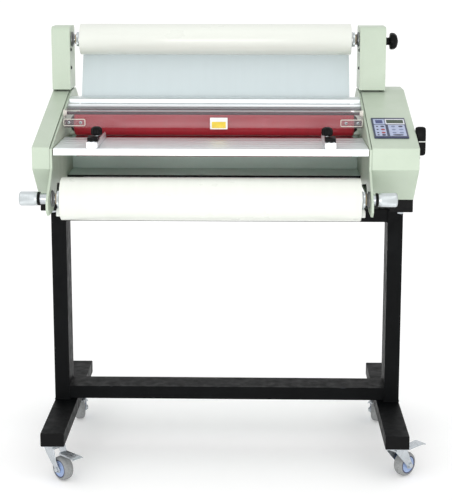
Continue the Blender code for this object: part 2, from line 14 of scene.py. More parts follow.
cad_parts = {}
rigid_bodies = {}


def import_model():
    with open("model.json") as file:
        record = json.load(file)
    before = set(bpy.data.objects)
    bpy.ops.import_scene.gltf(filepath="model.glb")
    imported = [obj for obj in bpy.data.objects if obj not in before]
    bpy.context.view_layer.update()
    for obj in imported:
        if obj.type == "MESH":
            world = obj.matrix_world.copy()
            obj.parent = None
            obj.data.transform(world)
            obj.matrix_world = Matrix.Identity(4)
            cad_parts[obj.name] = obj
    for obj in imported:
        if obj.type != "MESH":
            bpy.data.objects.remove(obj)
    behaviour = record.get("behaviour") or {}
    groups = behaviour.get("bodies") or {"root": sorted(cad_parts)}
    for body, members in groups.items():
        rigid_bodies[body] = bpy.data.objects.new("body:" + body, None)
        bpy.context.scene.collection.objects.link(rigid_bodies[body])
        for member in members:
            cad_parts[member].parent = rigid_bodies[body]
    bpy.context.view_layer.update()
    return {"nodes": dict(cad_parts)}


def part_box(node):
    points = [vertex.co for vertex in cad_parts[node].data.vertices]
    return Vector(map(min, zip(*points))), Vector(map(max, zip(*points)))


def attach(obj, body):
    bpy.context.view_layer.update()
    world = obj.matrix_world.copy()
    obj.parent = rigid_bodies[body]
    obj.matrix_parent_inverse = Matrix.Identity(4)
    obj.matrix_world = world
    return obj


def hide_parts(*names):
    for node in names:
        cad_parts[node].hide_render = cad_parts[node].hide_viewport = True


SHARP = 35.0                    # degrees between faces that still shade as one surface

# Camera
CAMERA_AT = (0.0610, -2.9000, 1.1600)
CAMERA_DOWN, CAMERA_LEFT = 9.898, 1.266    # degrees
CAMERA_LENS, CAMERA_SHIFT = 91.85, -0.16

# Studio
FLOOR_R, FLOOR_DROP = 80.0, 0.0005          # the floor lies a hair under the tyres
FLOOR_GLOW = 0.14
SKY = 1.0                                   # strength of the plain white surroundings
LIGHTS = (                                  # place, the point it faces, width and height, watts
    ("front", (0.0, -3.6, 0.72), (0, 0, 0.68), (2.8, 0.9), 34),
    ("key_left", (-2.2, -3.2, 1.7), (0, 0, 0.6), (2.2, 2.2), 7),
    ("key_right", (2.4, -3.0, 1.6), (0, 0, 0.6), (2.0, 2.2), 5),
    ("top", (0.0, -0.4, 3.2), (0, 0, 0.5), (3.0, 2.4), 5),
)

# Colours, as display values from 0 to 255
SAGE = (184, 197, 179)
# Panel colour lifted far above the panel's real grey-green: painted light standing in for the light the
# recess under the table misses
PANEL_GREEN_WITH_PAINTED_LIGHT = (222, 242, 234)
STAND_BLACK = (6, 7, 8)
PLASTIC_BLACK = (8, 8, 9)
ALUMINIUM = (228, 230, 232)
RAIL_WHITE = (236, 240, 242)
STEEL = (168, 170, 172)
ZINC = (196, 202, 206)
SILICONE_RED = (158, 14, 34)
NYLON_WHITE = (224, 222, 210)
FILM_WHITE = (230, 233, 225)
WEB_GREY = (188, 203, 206)
CARDBOARD = (176, 158, 128)
TREAD_GREY = (140, 142, 142)
HUB_BLUE = (150, 170, 206)
RING_NAVY = (44, 48, 84)
PRINT_RELIEF = 0.00002                      # bump depth of printed films, in metres

CASTERS = ("front_left", "front_right", "rear_left", "rear_right")
SIDES = (("left", -1), ("right", 1))        # each side's name and its outward direction in X


# ---------------------------------------------------------------- finishes
def display(colour):
    """Linear colour of 0 to 255 display values."""
    steps = [c / 255 for c in colour]
    return [c / 12.92 if c <= 0.04045 else ((c + 0.055) / 1.055) ** 2.4 for c in steps]


def shade(colour, factor):
    return [min(c * factor, 1.0) for c in colour]


class Finish:
    """A procedural material. Its methods add nodes and return their output sockets."""

    def __init__(self, name, roughness=0.5, metallic=0.0, **sockets):
        self.material = bpy.data.materials.new(name)
        self.material.use_nodes = True
        self.nodes = self.material.node_tree.nodes
        self.links = self.material.node_tree.links
        self.shader = self.nodes["Principled BSDF"]
        self.shader.inputs["Roughness"].default_value = roughness
        self.shader.inputs["Metallic"].default_value = metallic
        for socket, value in sockets.items():
            self.shader.inputs[socket.replace("_", " ")].default_value = value
        self.here = self.nodes.new("ShaderNodeTexCoord").outputs["Object"]

    def add(self, kind, inputs, **settings):
        """New node, given its settings and its inputs as values or other nodes' outputs."""
        node = self.nodes.new("ShaderNode" + kind)
        for name, value in settings.items():
            setattr(node, name, value)
        for socket, value in inputs.items():
            if isinstance(value, bpy.types.NodeSocket):
                self.links.new(value, node.inputs[socket])
            else:
                node.inputs[socket].default_value = value
        return node.outputs

    def noise(self, size, stretch=(1, 1, 1), detail=3.0):
        """Noise with blots of about this size in metres, drawn out along the axes."""
        place = self.add("Mapping", {"Vector": self.here, "Scale": [1 / (size * s) for s in stretch]})
        return self.add("TexNoise", {"Vector": place["Vector"], "Scale": 1.0, "Detail": detail})["Fac"]

    def rings(self, size, detail=3.0):
        """Noise that changes only with the distance from the local X axis."""
        flat = self.add("VectorMath", {0: self.here, 1: (0.0, 1.0, 1.0)}, operation="MULTIPLY")
        reach = self.add("VectorMath", {0: flat["Vector"]}, operation="LENGTH")
        return self.add("TexNoise", {"W": reach["Value"], "Scale": 1 / size, "Detail": detail},
                        noise_dimensions="1D")["Fac"]

    def cells(self, size):
        """One random grey for each crystal of about this size."""
        crystals = self.add("TexVoronoi", {"Vector": self.here, "Scale": 1 / size})
        return self.add("SeparateColor", {"Color": crystals["Color"]})["Red"]

    def ease(self, value, low, high, start=0.3, end=0.7):
        """Values from start to end become low to high."""
        return self.add("MapRange", {"Value": value, "From Min": start, "From Max": end,
                                     "To Min": low, "To Max": high})["Result"]

    def mix(self, value, first, second):
        """Colour from first to second; each is a colour or another mix's output."""
        ends = [c if isinstance(c, bpy.types.NodeSocket) else (*c, 1.0) for c in (first, second)]
        return self.add("Mix", {0: value, 6: ends[0], 7: ends[1]}, data_type="RGBA")[2]

    def paint(self, colour):
        self.links.new(colour, self.shader.inputs["Base Color"])

    def rough(self, value):
        self.links.new(value, self.shader.inputs["Roughness"])

    def relief(self, *layers):
        """Bump layers as (height socket, depth in metres)."""
        below = {}
        for height, depth in layers:
            bump = self.add("Bump", {"Height": height, "Distance": depth, "Strength": 1.0, **below})
            below = {"Normal": bump["Normal"]}
        self.links.new(below["Normal"], self.shader.inputs["Normal"])


def powder_coat(name, colour, roughness=0.42, drift=0.05):
    """Baked paint: orange peel, a slow drift of tone, faint hand marks in the gloss."""
    look = Finish(name, roughness, Coat_Weight=0.12, Coat_Roughness=0.3)
    base = display(colour)
    slow = look.ease(look.noise(0.16, detail=4), 0, 1)
    fleck = look.ease(look.noise(0.0011, detail=1), 0, 1, 0.62, 0.74)
    tone = look.mix(slow, shade(base, 1 - drift), shade(base, 1 + drift / 2))
    look.paint(look.mix(fleck, tone, shade(base, 0.86)))
    look.rough(look.ease(look.noise(0.035, detail=5), roughness - 0.07, roughness + 0.10))
    look.relief((look.noise(0.0013, detail=2), 0.00005), (look.noise(0.007, detail=1), 0.00008))
    return look.material


def stand_paint(name, wear):
    """Satin black powder coat with scuffs; wear is the share of bare metal that shows through."""
    look = Finish(name, 0.5, Specular_IOR_Level=0.08)
    base = display(STAND_BLACK)
    dust = look.ease(look.noise(0.06, detail=6), 0, 1, 0.45, 0.8)
    tone = look.mix(dust, base, shade(base, 1.9))
    scuff = look.ease(look.noise(0.005, (5, 5, 1.6), 5), 0, 1, 0.80 - wear, 0.86 - wear)
    look.paint(look.mix(scuff, tone, display((62, 64, 68))))
    look.rough(look.ease(look.noise(0.02, detail=4), 0.40, 0.60))
    look.relief((look.noise(0.0010, detail=2), 0.00006), (look.noise(0.006), 0.00006))
    return look.material


def drawn_metal(name, colour, roughness, stretch, contrast=0.10):
    """Metal with grain drawn out along an axis, and faint longer marks."""
    look = Finish(name, roughness, 1.0)
    base = display(colour)
    grain = look.noise(0.00045, stretch, 2)
    streak = look.noise(0.006, stretch, 3)
    tone = look.mix(look.ease(streak, 0, 1), shade(base, 1 - contrast), base)
    look.paint(look.mix(look.ease(grain, 0, 1, 0.45, 0.75), tone, shade(base, 1 - 1.5 * contrast)))
    look.rough(look.ease(streak, roughness - 0.06, roughness + 0.10))
    look.relief((grain, 0.00003))
    return look.material


def turned_metal(name, colour, roughness, contrast=0.12):
    """Metal turned about the local X axis: rings on the faces, fine lines round the barrel."""
    look = Finish(name, roughness, 1.0)
    base = display(colour)
    rings, lines = look.rings(0.0004, 2), look.noise(0.0004, (1, 80, 80), 2)
    tone = look.mix(look.ease(rings, 0, 1), shade(base, 1 - contrast), base)
    look.paint(look.mix(look.ease(lines, 0, 1, 0.5, 0.8), tone, shade(base, 1 - contrast)))
    look.rough(look.ease(look.noise(0.008, detail=3), roughness - 0.05, roughness + 0.08))
    look.relief((rings, 0.00002), (lines, 0.00002))
    return look.material


def zinc_plate():
    """Bright zinc plating: small spangles, blue-grey clouds and rolling marks."""
    look = Finish("zinc", 0.3, 1.0)
    base = display(ZINC)
    cloud = look.ease(look.noise(0.012, detail=4), 0, 1)
    tone = look.mix(cloud, shade(base, 0.80), display((206, 210, 216)))
    look.paint(look.mix(look.ease(look.cells(0.0016), 0, 1, 0, 1), tone, shade(base, 0.93)))
    look.rough(look.ease(look.noise(0.006, detail=4), 0.22, 0.42))
    look.relief((look.noise(0.0006, detail=3), 0.00004))
    return look.material


def moulded(name, colour, roughness=0.45, grain=0.0007, depth=0.00005, **sockets):
    """Moulded plastic or rubber with a fine eroded grain and uneven gloss."""
    look = Finish(name, roughness, **sockets)
    base = display(colour)
    cloud = look.ease(look.noise(0.018, detail=4), 0, 1)
    tone = look.mix(cloud, shade(base, 0.90), shade(base, 1.07))
    pit = look.ease(look.noise(grain, detail=2), 0, 1, 0.6, 0.75)
    look.paint(look.mix(pit, tone, shade(base, 0.80)))
    look.rough(look.ease(look.noise(0.010, detail=3), roughness - 0.08, roughness + 0.10))
    look.relief((look.noise(grain, detail=2), depth))
    return look.material


def tyre_rubber():
    """Grey non-marking rubber, dusty where it runs on the floor."""
    look = Finish("caster_tread", 0.6)
    base = display(TREAD_GREY)
    dust = look.ease(look.noise(0.004, detail=6), 0, 1, 0.4, 0.72)
    tone = look.mix(dust, shade(base, 0.82), shade(base, 1.16))
    look.paint(look.mix(look.ease(look.rings(0.0016), 0, 1), tone, shade(base, 0.92)))
    look.rough(look.ease(dust, 0.50, 0.72, 0, 1))
    look.relief((look.noise(0.0005, detail=3), 0.00006))
    return look.material


def silicone():
    """Ground silicone rubber: deep red, faint lines round the roller, dusty and waxed patches."""
    look = Finish("silicone_red", 0.42, Sheen_Weight=0.08, Coat_Weight=0.10, Coat_Roughness=0.35)
    base = display(SILICONE_RED)
    band = look.ease(look.noise(0.004, (1, 60, 60), 4), 0, 1)
    tone = look.mix(band, shade(base, 0.82), shade(base, 1.10))
    dust = look.ease(look.noise(0.03, (2, 1, 1), 6), 0, 1, 0.62, 0.85)
    look.paint(look.mix(dust, tone, display((176, 70, 82))))
    look.rough(look.ease(look.noise(0.02, (4, 1, 1), 4), 0.34, 0.52))
    look.relief((look.noise(0.0006, (1, 30, 30), 2), 0.00003), (look.noise(0.0010), 0.00003))
    return look.material


def wound_film():
    """A wound roll: faint bands round the barrel, fine windings on the end faces."""
    look = Finish("film_wound", 0.3, Coat_Weight=0.35, Coat_Roughness=0.12)
    base = display(FILM_WHITE)
    band = look.ease(look.noise(0.02, (1, 40, 40), 4), 0, 1)
    winding = look.ease(look.rings(0.00022, 2), 0, 1, 0.35, 0.65)
    coarse = look.ease(look.rings(0.0022, 2), 0, 1)
    tone = look.mix(band, shade(base, 0.955), shade(base, 1.01))
    tone = look.mix(coarse, shade(base, 0.90), tone)
    look.paint(look.mix(winding, tone, shade(base, 0.88)))
    look.rough(look.ease(look.noise(0.05, (2, 1, 1), 4), 0.24, 0.40))
    look.relief((look.noise(0.012, (1, 12, 12), 2), 0.00010), (look.rings(0.0006, 2), 0.00008))
    return look.material


def web_film():
    """Thin laminating film with a matte haze and faint lines where it runs."""
    look = Finish("film_web", 0.45, Alpha=0.80, Specular_IOR_Level=0.35)
    base = display(WEB_GREY)
    run = look.ease(look.noise(0.012, (1, 30, 30), 4), 0, 1)
    look.paint(look.mix(run, shade(base, 0.985), shade(base, 1.01)))
    look.rough(look.ease(look.noise(0.04, (1, 4, 4), 3), 0.38, 0.52))
    look.relief((look.noise(0.03, (1, 14, 14), 2), 0.00008))
    return look.material


def acrylic():
    """Clear guard plastic with faint wiping marks; its pale pinkish colour is a painted reflection haze."""
    look = Finish("clear_acrylic", 0.12, Alpha=0.065, IOR=1.49, Specular_IOR_Level=0.4)
    haze = look.ease(look.noise(0.02, (8, 1, 1), 5), 0, 1)
    # Pale pinkish colour: painted reflection haze over the guard, tinted by the red roller; the noise varies
    # it in faint wiping marks
    look.paint(look.mix(haze, display((214, 190, 198)), display((236, 222, 228))))
    look.rough(look.ease(look.noise(0.006, (10, 1, 1), 4), 0.08, 0.22))
    look.relief((look.noise(0.05, (3, 1, 1), 2), 0.00010))
    return look.material


def display_glass(name, colour):
    """Glossy window over a dark display, with a faint segment field under it."""
    look = Finish(name, 0.35, Specular_IOR_Level=0.3)
    base = display(colour)
    look.paint(look.mix(look.ease(look.noise(0.0018, (1, 3, 3), 2), 0, 1), base, shade(base, 1.7)))
    look.rough(look.ease(look.noise(0.004), 0.30, 0.42))
    look.relief((look.noise(0.003), 0.00002))
    return look.material


along_x, along_z = (70, 1, 1), (1, 1, 70)
looks = {
    "sage": powder_coat("body_paint", SAGE),
    # panel finish: its lifted colour is painted light for the shaded recess under the table
    "panel": powder_coat("panel_paint", PANEL_GREEN_WITH_PAINTED_LIGHT, 0.5, 0.08),
    "stand": stand_paint("stand_black", 0.0),
    "stand_edge": stand_paint("stand_black_edge", 0.17),
    "table": drawn_metal("aluminium_table", RAIL_WHITE, 0.44, along_x, 0.07),
    "rail": drawn_metal("aluminium_rail", RAIL_WHITE, 0.42, along_x, 0.05),
    "block": drawn_metal("aluminium_block", ALUMINIUM, 0.34, along_z),
    "knob": turned_metal("aluminium_turned", (206, 212, 214), 0.34, 0.18),
    "steel": turned_metal("steel_turned", STEEL, 0.26),
    "gear": turned_metal("steel_gear", (142, 144, 146), 0.38),
    "motor": powder_coat("motor_paint", (60, 62, 66), 0.4, 0.10),
    "zinc": zinc_plate(),
    "tread": tyre_rubber(),
    "hub": moulded("hub_blue", HUB_BLUE, 0.38, Coat_Weight=0.2),
    "ring": moulded("ring_navy", RING_NAVY, 0.45),
    "red": silicone(),
    "nylon": moulded("nylon_white", NYLON_WHITE, 0.42),
    "wound": wound_film(),
    "web": web_film(),
    "clear": acrylic(),
    "card": moulded("cardboard", CARDBOARD, 0.8, 0.0012, 0.0001),
    "black": moulded("black_plastic", PLASTIC_BLACK, 0.45, 0.0006, 0.00004, Specular_IOR_Level=0.12),
    "screw": turned_metal("screw_black", (58, 58, 60), 0.4),
    "lcd": display_glass("display_green", (50, 62, 48)),
    "led": display_glass("display_blue", (58, 64, 104)),
    "mark": moulded("mark_white", (222, 224, 220), 0.5),
}
for key, ink, colour, roughness, grain in (
        ("navy", "overlay_navy", (34, 42, 78), 0.34, 0.0005),
        ("lavender", "overlay_lavender", (168, 178, 206), 0.40, 0.0005),
        ("frame", "overlay_white", (222, 224, 232), 0.38, 0.0005),
        ("key_dark", "key_dark", (44, 44, 72), 0.35, 0.0005),
        ("key_red", "key_red", (150, 34, 44), 0.35, 0.0005),
        ("key_grey", "key_grey", (120, 130, 160), 0.35, 0.0005),
        ("yellow", "label_yellow", (232, 202, 60), 0.4, 0.0006),
        ("label", "label_white", (240, 240, 236), 0.38, 0.0006)):
    looks[key] = moulded(ink, colour, roughness, grain, PRINT_RELIEF)


# ---------------------------------------------------------------- mesh tools
def finish_mesh(bm, name):
    """Mesh datablock with outward faces, smooth apart from its real edges."""
    bmesh.ops.remove_doubles(bm, verts=bm.verts, dist=1e-7)
    bmesh.ops.recalc_face_normals(bm, faces=bm.faces)
    mesh = bpy.data.meshes.new(name)
    bm.to_mesh(mesh)
    bm.free()
    mesh.shade_smooth()
    mesh.set_sharp_from_angle(angle=math.radians(SHARP))
    return mesh


def soften(item, width, segments=2):
    """Round every real edge a little, with flat faces kept flat."""
    modifier = item.modifiers.new("rounding", "BEVEL")
    modifier.width = width
    modifier.segments = segments
    modifier.limit_method = "ANGLE"
    modifier.angle_limit = math.radians(SHARP)
    modifier.harden_normals = True
    return modifier


def piece(name, build, look, body, place=None, bevel=0.0, slot=None, stands_for=()):
    """One new object: build(bm) fills it in its own coordinates, place puts it in the world."""
    bm = bmesh.new()
    build(bm)
    item = bpy.data.objects.new(name, finish_mesh(bm, name))
    bpy.context.scene.collection.objects.link(item)
    for one in (look if isinstance(look, (list, tuple)) else [look]):
        item.data.materials.append(looks[one])
    if place is not None:
        item.matrix_world = place
    if bevel:
        soften(item, bevel)
    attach(item, body)
    if stands_for:
        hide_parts(*stands_for)
    return item


def moved(x=0.0, y=0.0, z=0.0):
    return Matrix.Translation((x, y, z))


def turned_by(degrees, axis):
    return Matrix.Rotation(math.radians(degrees), 4, axis)


def rectangle(low_a, high_a, low_b, high_b):
    return [(low_a, low_b), (high_a, low_b), (high_a, high_b), (low_a, high_b)]


def filleted(points, radius, closed=True, steps=4):
    """Round the corners of an outline."""
    made = []
    for i, spot in enumerate(points):
        if not closed and i in (0, len(points) - 1):
            made.append(tuple(spot))
            continue
        here = Vector(spot)
        back = Vector(points[i - 1]) - here
        ahead = Vector(points[(i + 1) % len(points)]) - here
        reach = min(radius, back.length * 0.45, ahead.length * 0.45)
        first, last = here + back.normalized() * reach, here + ahead.normalized() * reach
        for step in range(steps + 1):
            t = step / steps
            made.append(tuple(first * (1 - t) ** 2 + here * 2 * t * (1 - t) + last * t * t))
    return made


def skin(bm, rows, closed=False):
    """Faces between neighbouring rows of vertices; closed joins each row's end to its start."""
    count = len(rows[0])
    return [bm.faces.new((first[i], first[(i + 1) % count], second[(i + 1) % count], second[i]))
            for first, second in zip(rows, rows[1:]) for i in range(count if closed else count - 1)]


def add_prism(bm, outline, axis, low, high, material=0):
    """Extrude a closed outline along an axis; its points run along the other two in order."""
    others = [i for i in range(3) if i != axis]
    ends = []
    for level in (low, high):
        ring = []
        for point in outline:
            spot = [0.0, 0.0, 0.0]
            spot[axis] = level
            spot[others[0]], spot[others[1]] = point
            ring.append(bm.verts.new(spot))
        ends.append(ring)
    faces = [bm.faces.new(ends[0]), bm.faces.new(reversed(ends[1]))] + skin(bm, ends, True)
    for face in faces:
        face.material_index = material
    return faces


def add_box(bm, x, y, z, material=0):
    return add_prism(bm, rectangle(*y, *z), 0, *x, material)


def add_turned(bm, profile, segments, closed=False, shape=None, material=0):
    """Turn (along, radius) points about X. shape(angle, along, radius) may change the radius."""
    rings = []
    for along, radius in profile:
        ring = []
        for i in range(segments):
            angle = 2 * math.pi * i / segments
            r = shape(angle, along, radius) if shape else radius
            ring.append(bm.verts.new((along, r * math.cos(angle), r * math.sin(angle))))
        rings.append(ring)
    ends = [] if closed else [bm.faces.new(rings[0]), bm.faces.new(reversed(rings[-1]))]
    for face in ends + skin(bm, rings + rings[:closed], True):
        face.material_index = material


@contextmanager
def placed(bm, matrix):
    """Move everything that is added to the mesh inside this block."""
    before = len(bm.verts)
    yield
    bm.verts.ensure_lookup_table()
    bmesh.ops.transform(bm, matrix=matrix, verts=bm.verts[before:])


def axis_turn(axis):
    """Turn that takes local +X to the given direction."""
    return Vector((1, 0, 0)).rotation_difference(Vector(axis)).to_matrix().to_4x4()


def add_pan_screw(bm, at, axis, radius=0.0040):
    """Domed screw head with a black cross on it, painted shade for a cross recess, standing on `at` and
    facing along axis.
    """
    height = radius * 0.62
    dome = [(0.0, radius)] + [(height * math.sin(t), radius * math.cos(t) + radius * 0.12 * math.sin(t))
                              for t in (0.35, 0.7, 1.05, 1.35)]
    dome.append((height, radius * 0.12))
    half_long, half_wide = radius * 0.52, radius * 0.11
    with placed(bm, moved(*at) @ axis_turn(axis)):
        add_turned(bm, dome, 20)
        # Black cross (second material): painted shade where the cross recess would be
        for turn in (0.0, 90.0):
            with placed(bm, turned_by(turn, "X")):
                add_box(bm, (height * 0.55, height * 1.05), (-half_long, half_long),
                        (-half_wide, half_wide), 1)


def add_hex_bolt(bm, at, axis, across=0.010, tall=0.0040, washer=0.0010):
    """Hexagon head with a chamfer and a washer under it."""
    corner = across / math.sqrt(3)
    chamfer = across * 0.07
    with placed(bm, moved(*at) @ axis_turn(axis)):
        add_turned(bm, [(0.0, across * 0.70), (washer, across * 0.70), (washer, across * 0.30)], 24)
        add_turned(bm, [(washer, corner), (washer + tall - chamfer, corner),
                        (washer + tall, corner - chamfer * 1.6)], 6)


def add_rod(bm, start, end, radius, segments=24):
    """Straight rod along X with small chamfers."""
    edge = radius * 0.15
    add_turned(bm, [(start, radius - edge), (start + edge, radius), (end - edge, radius),
                    (end, radius - edge)], segments)


def add_tube_path(bm, points, radius, sides=8, ripple=0.0):
    """Round bead along a closed loop of points; ripple makes it swell and shrink."""
    count = len(points)
    rings = []
    for i, point in enumerate(points):
        ahead = (points[(i + 1) % count] - points[i - 1]).normalized()
        side = ahead.orthogonal().normalized() if abs(ahead.z) > 0.9 else \
            ahead.cross(Vector((0, 0, 1))).normalized()
        up = side.cross(ahead)
        r = radius * (1 + ripple * math.sin(i * 2.1))
        rings.append([bm.verts.new(point + (side * math.cos(2 * math.pi * k / sides)
                                            + up * math.sin(2 * math.pi * k / sides)) * r)
                      for k in range(sides)])
    skin(bm, rings + rings[:1], True)


def middle(node):
    low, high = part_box(node)
    return (low + high) / 2


def turned_piece(name, profile, segments, look, body, place, closed=False, shape=None, **rest):
    """A piece that is one profile turned about its own X axis."""
    return piece(name, lambda bm: add_turned(bm, profile, segments, closed, shape), look, body, place, **rest)


def measures(node):
    """Corners, middle and upright radius of a frame part."""
    low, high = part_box(node)
    return low, high, (low + high) / 2, (high.z - low.z) / 2


# ---------------------------------------------------------------- frame parts that stay
def dress(node, look, bevel=0.0, edge=None):
    """Give a frame part its finish and rounded edges."""
    item = frame["nodes"][node]
    item.data.materials.clear()
    item.data.materials.append(looks[look])
    marks = item.data.attributes.get("custom_normal")
    if marks:
        item.data.attributes.remove(marks)
    item.data.shade_smooth()
    weld = item.modifiers.new("weld", "WELD")
    weld.merge_threshold = 0.00001
    if bevel:
        rounding = soften(item, bevel)
        if edge:
            item.data.materials.append(looks[edge])
            rounding.material = 1


def dress_frame():
    for side in ("left", "right"):
        for part in ("foot", "leg", "top_beam"):
            dress(f"stand_{part}_{side}", "stand", 0.0009, "stand_edge")
        dress(f"side_plate_{side}", "sage", 0.0006)
        dress(f"film_arm_{side}", "sage", 0.0009)
        dress(f"bearing_block_{side}", "nylon", 0.0005)
        dress(f"side_guide_{side}", "block", 0.0005)
    for part in ("stand_crossbar_lower", "stand_crossbar_upper"):
        dress(part, "stand", 0.0009, "stand_edge")
    for part in ("side_cover_left", "side_housing_right"):
        dress(part, "sage", 0.0010)
    for caster in CASTERS:
        dress(f"caster_plate_{caster}", "zinc", 0.0006)
    dress("base_pan", "panel", 0.0005)
    dress("lower_rear_panel", "panel", 0.0005)
    dress("exit_shelf", "sage", 0.0006)
    dress("top_rail", "rail", 0.0007)
    dress("feed_table", "table", 0.0003)
    dress("control_panel", "navy", 0.0006)
    dress("drive_gear", "gear", 0.0002)
    dress("motor_pinion", "nylon", 0.0002)
    dress("drive_motor", "motor", 0.0012)


# ---------------------------------------------------------------- stand details
def add_end_plug(bm, spans, axis, outward):
    """Moulded plug over a tube's open end: thin flange with a shallow dished face."""
    a, b = [i for i in range(3) if i != axis]
    end = spans[axis][1] if outward > 0 else spans[axis][0]
    outline = filleted(rectangle(*spans[a], *spans[b]), 0.0022)
    near, far = end + outward * 0.0002, end + outward * 0.0026
    faces = add_prism(bm, outline, axis, near, far)
    face = max(faces[:2], key=lambda f: outward * f.calc_center_median()[axis])
    bmesh.ops.inset_region(bm, faces=[face], thickness=0.0035)
    push = Vector((0, 0, 0))
    push[axis] = -outward * 0.0011
    bmesh.ops.translate(bm, verts=face.verts, vec=push)


def rectangle_loop(axis, level, spans, step=0.004):
    """Points round a rectangle that stands across an axis."""
    corners = rectangle(*spans[0], *spans[1])
    others = [i for i in range(3) if i != axis]
    points = []
    for i, corner in enumerate(corners):
        start, end = Vector(corner), Vector(corners[(i + 1) % 4])
        count = max(2, int((end - start).length / step))
        for k in range(count):
            flat = start.lerp(end, k / count)
            spot = Vector((0, 0, 0))
            spot[axis] = level
            spot[others[0]], spot[others[1]] = flat
            points.append(spot)
    return points


def box_spans(node):
    low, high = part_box(node)
    return [(low[i], high[i]) for i in range(3)]


BEAD_R = 0.0017                             # weld beads


def make_stand_details():
    def plugs(bm):
        for side in ("left", "right"):
            for part in ("foot", "top_beam"):
                spans = box_spans(f"stand_{part}_{side}")
                add_end_plug(bm, spans, 1, -1)
                add_end_plug(bm, spans, 1, 1)

    piece("stand_end_plugs", plugs, "black", "root", bevel=0.0004, slot="black_plastic")

    def welds(bm):
        tubes = [(f"stand_crossbar_{level}", 0) for level in ("upper", "lower")]
        tubes += [(f"stand_leg_{side}", 2) for side in ("left", "right")]
        for node, axis in tubes:
            spans = box_spans(node)
            start, end = spans.pop(axis)
            for level in (start + BEAD_R * 0.3, end - BEAD_R * 0.3):
                add_tube_path(bm, rectangle_loop(axis, level, spans), BEAD_R, ripple=0.12)

    piece("stand_weld_beads", welds, "stand", "root", slot="stand_black")

    def bolts(bm):
        for side in ("left", "right"):
            spans = box_spans(f"stand_top_beam_{side}")
            x = (spans[0][0] + spans[0][1]) / 2
            for y in (spans[1][0] + 0.016, spans[1][1] - 0.030):
                add_hex_bolt(bm, (x, y, spans[2][0]), (0, 0, -1), 0.013, 0.0055, 0.0015)

    piece("beam_bolts", bolts, "zinc", "root", slot="zinc")


# ---------------------------------------------------------------- casters
FORK_INSIDE, FORK_SHEET = 0.0142, 0.0022    # half the gap over the wheel, sheet thickness
RACE_R, AXLE_R = 0.0205, 0.0038
TYRE_HALF, RIM_R = 0.0120, 0.0198           # half the tyre's width, radius of its seat
PEDAL_LONG, PEDAL_SHEET = 0.0508, 0.0016


def caster_place(name):
    """Local frame on the swivel axis with +X towards the wheel, and the trail."""
    pivot, wheel = middle(f"caster_plate_{name}"), middle(f"caster_wheel_{name}")
    lean = Vector((wheel.x - pivot.x, wheel.y - pivot.y))
    heading = math.atan2(lean.y, lean.x)
    return moved(pivot.x, pivot.y) @ Matrix.Rotation(heading, 4, "Z"), lean.length, wheel.z


def add_yoke(bm, trail, axle_z, top):
    """Pressed fork: one strip that runs down, over the crown and down again, narrowing to the axle."""
    mid = FORK_INSIDE + FORK_SHEET / 2
    bottom, boss, crown_half, bend, columns = axle_z - 0.0065, 0.0095, 0.0200, 0.006, 8
    crown = top - FORK_SHEET / 2
    path = [(-mid, bottom + (crown - bend - bottom) * k / 10) for k in range(11)]
    path += filleted([(-mid, crown - bend), (-mid, crown), (0.0, crown)], bend, False)[1:-1]
    path += [(-bend, crown), (0.0, crown)]
    path += [(-y, z) for y, z in reversed(path[:-1])]
    rows = []
    for y, z in path:
        down = max(0.0, (crown - z) / (crown - axle_z))
        centre = trail * min(down, 1.0) ** 1.25
        half = crown_half + (boss - crown_half) * min(1.0, down * 1.15) ** 0.8
        if z < axle_z:
            half = math.sqrt(max(boss ** 2 - (axle_z - z) ** 2, 0.0)) * 0.99
        flare = 0.0016 * math.sin(math.pi * min(down, 1.0)) * (1 if y > 0 else -1) * (abs(y) > 0.010)
        rows.append([bm.verts.new((centre + half * (2 * k / columns - 1), y + flare, z))
                     for k in range(columns + 1)])
    skin(bm, rows)


def mirrored(profile):
    """A profile that starts at the middle plane, with its mirror image before it."""
    return [(-x, r) for x, r in reversed(profile)] + profile


def tread_profile(radius):
    half = TYRE_HALF
    crown = [(half * 0.45, radius - 0.0002), (half * 0.78, radius - 0.0018),
             (half * 0.97, radius - 0.0052), (half, RIM_R + 0.0012), (half - 0.0010, RIM_R)]
    inner = [(half - 0.003, RIM_R - 0.001), (-half + 0.003, RIM_R - 0.001)]
    profile = [(-x, r) for x, r in reversed(crown)] + [(0.0, radius)] + crown
    return filleted(profile, 0.0012, False, 2) + inner


def add_caster_hub(bm):
    """Disc with a stepped face, six ribs on each side and a bearing boss."""
    half = TYRE_HALF
    face = [(half - 0.0012, 0.0178), (half - 0.0012, 0.0150), (half - 0.0024, 0.0140),
            (half - 0.0026, 0.0086), (half - 0.0002, 0.0080), (half - 0.0002, 0.0046),
            (half - 0.0002, 0.0040)]
    add_turned(bm, mirrored(face), 48, closed=True)
    for side in (-1, 1):
        for k in range(6):
            x = side * (half - 0.0022)
            with placed(bm, turned_by(60 * k + 15, "X")):
                add_box(bm, sorted((x, x - side * 0.0015)), (0.0082, 0.0146), (-0.0007, 0.0007))


def add_pedal(bm):
    """Stamped pedal: flared tongue with three pressed ribs and turned-down sides."""
    root_half, tip_half = 0.0118, 0.0152
    rows, columns = 18, 24
    grid = []
    for i in range(rows + 1):
        t = i / rows
        x = -0.003 + (PEDAL_LONG + 0.003) * t
        half = root_half + (tip_half - root_half) * t ** 2
        row = []
        for k in range(columns + 1):
            s = 2 * k / columns - 1
            rib = 0.0011 * max(0.0, math.cos(s * 3 * math.pi)) * math.sin(math.pi * min(1, t * 1.2)) ** 0.5
            edge = -0.0042 * max(0.0, (abs(s) - 0.86) / 0.14) * (1 - 0.6 * t)
            z = 0.0022 + 0.0008 * t + rib + edge - 0.0020 * max(0, t - 0.88) / 0.12
            row.append(bm.verts.new((x, s * half, z)))
        grid.append(row)
    skin(bm, grid)
    bmesh.ops.recalc_face_normals(bm, faces=bm.faces)
    bmesh.ops.solidify(bm, geom=bm.faces[:], thickness=PEDAL_SHEET)


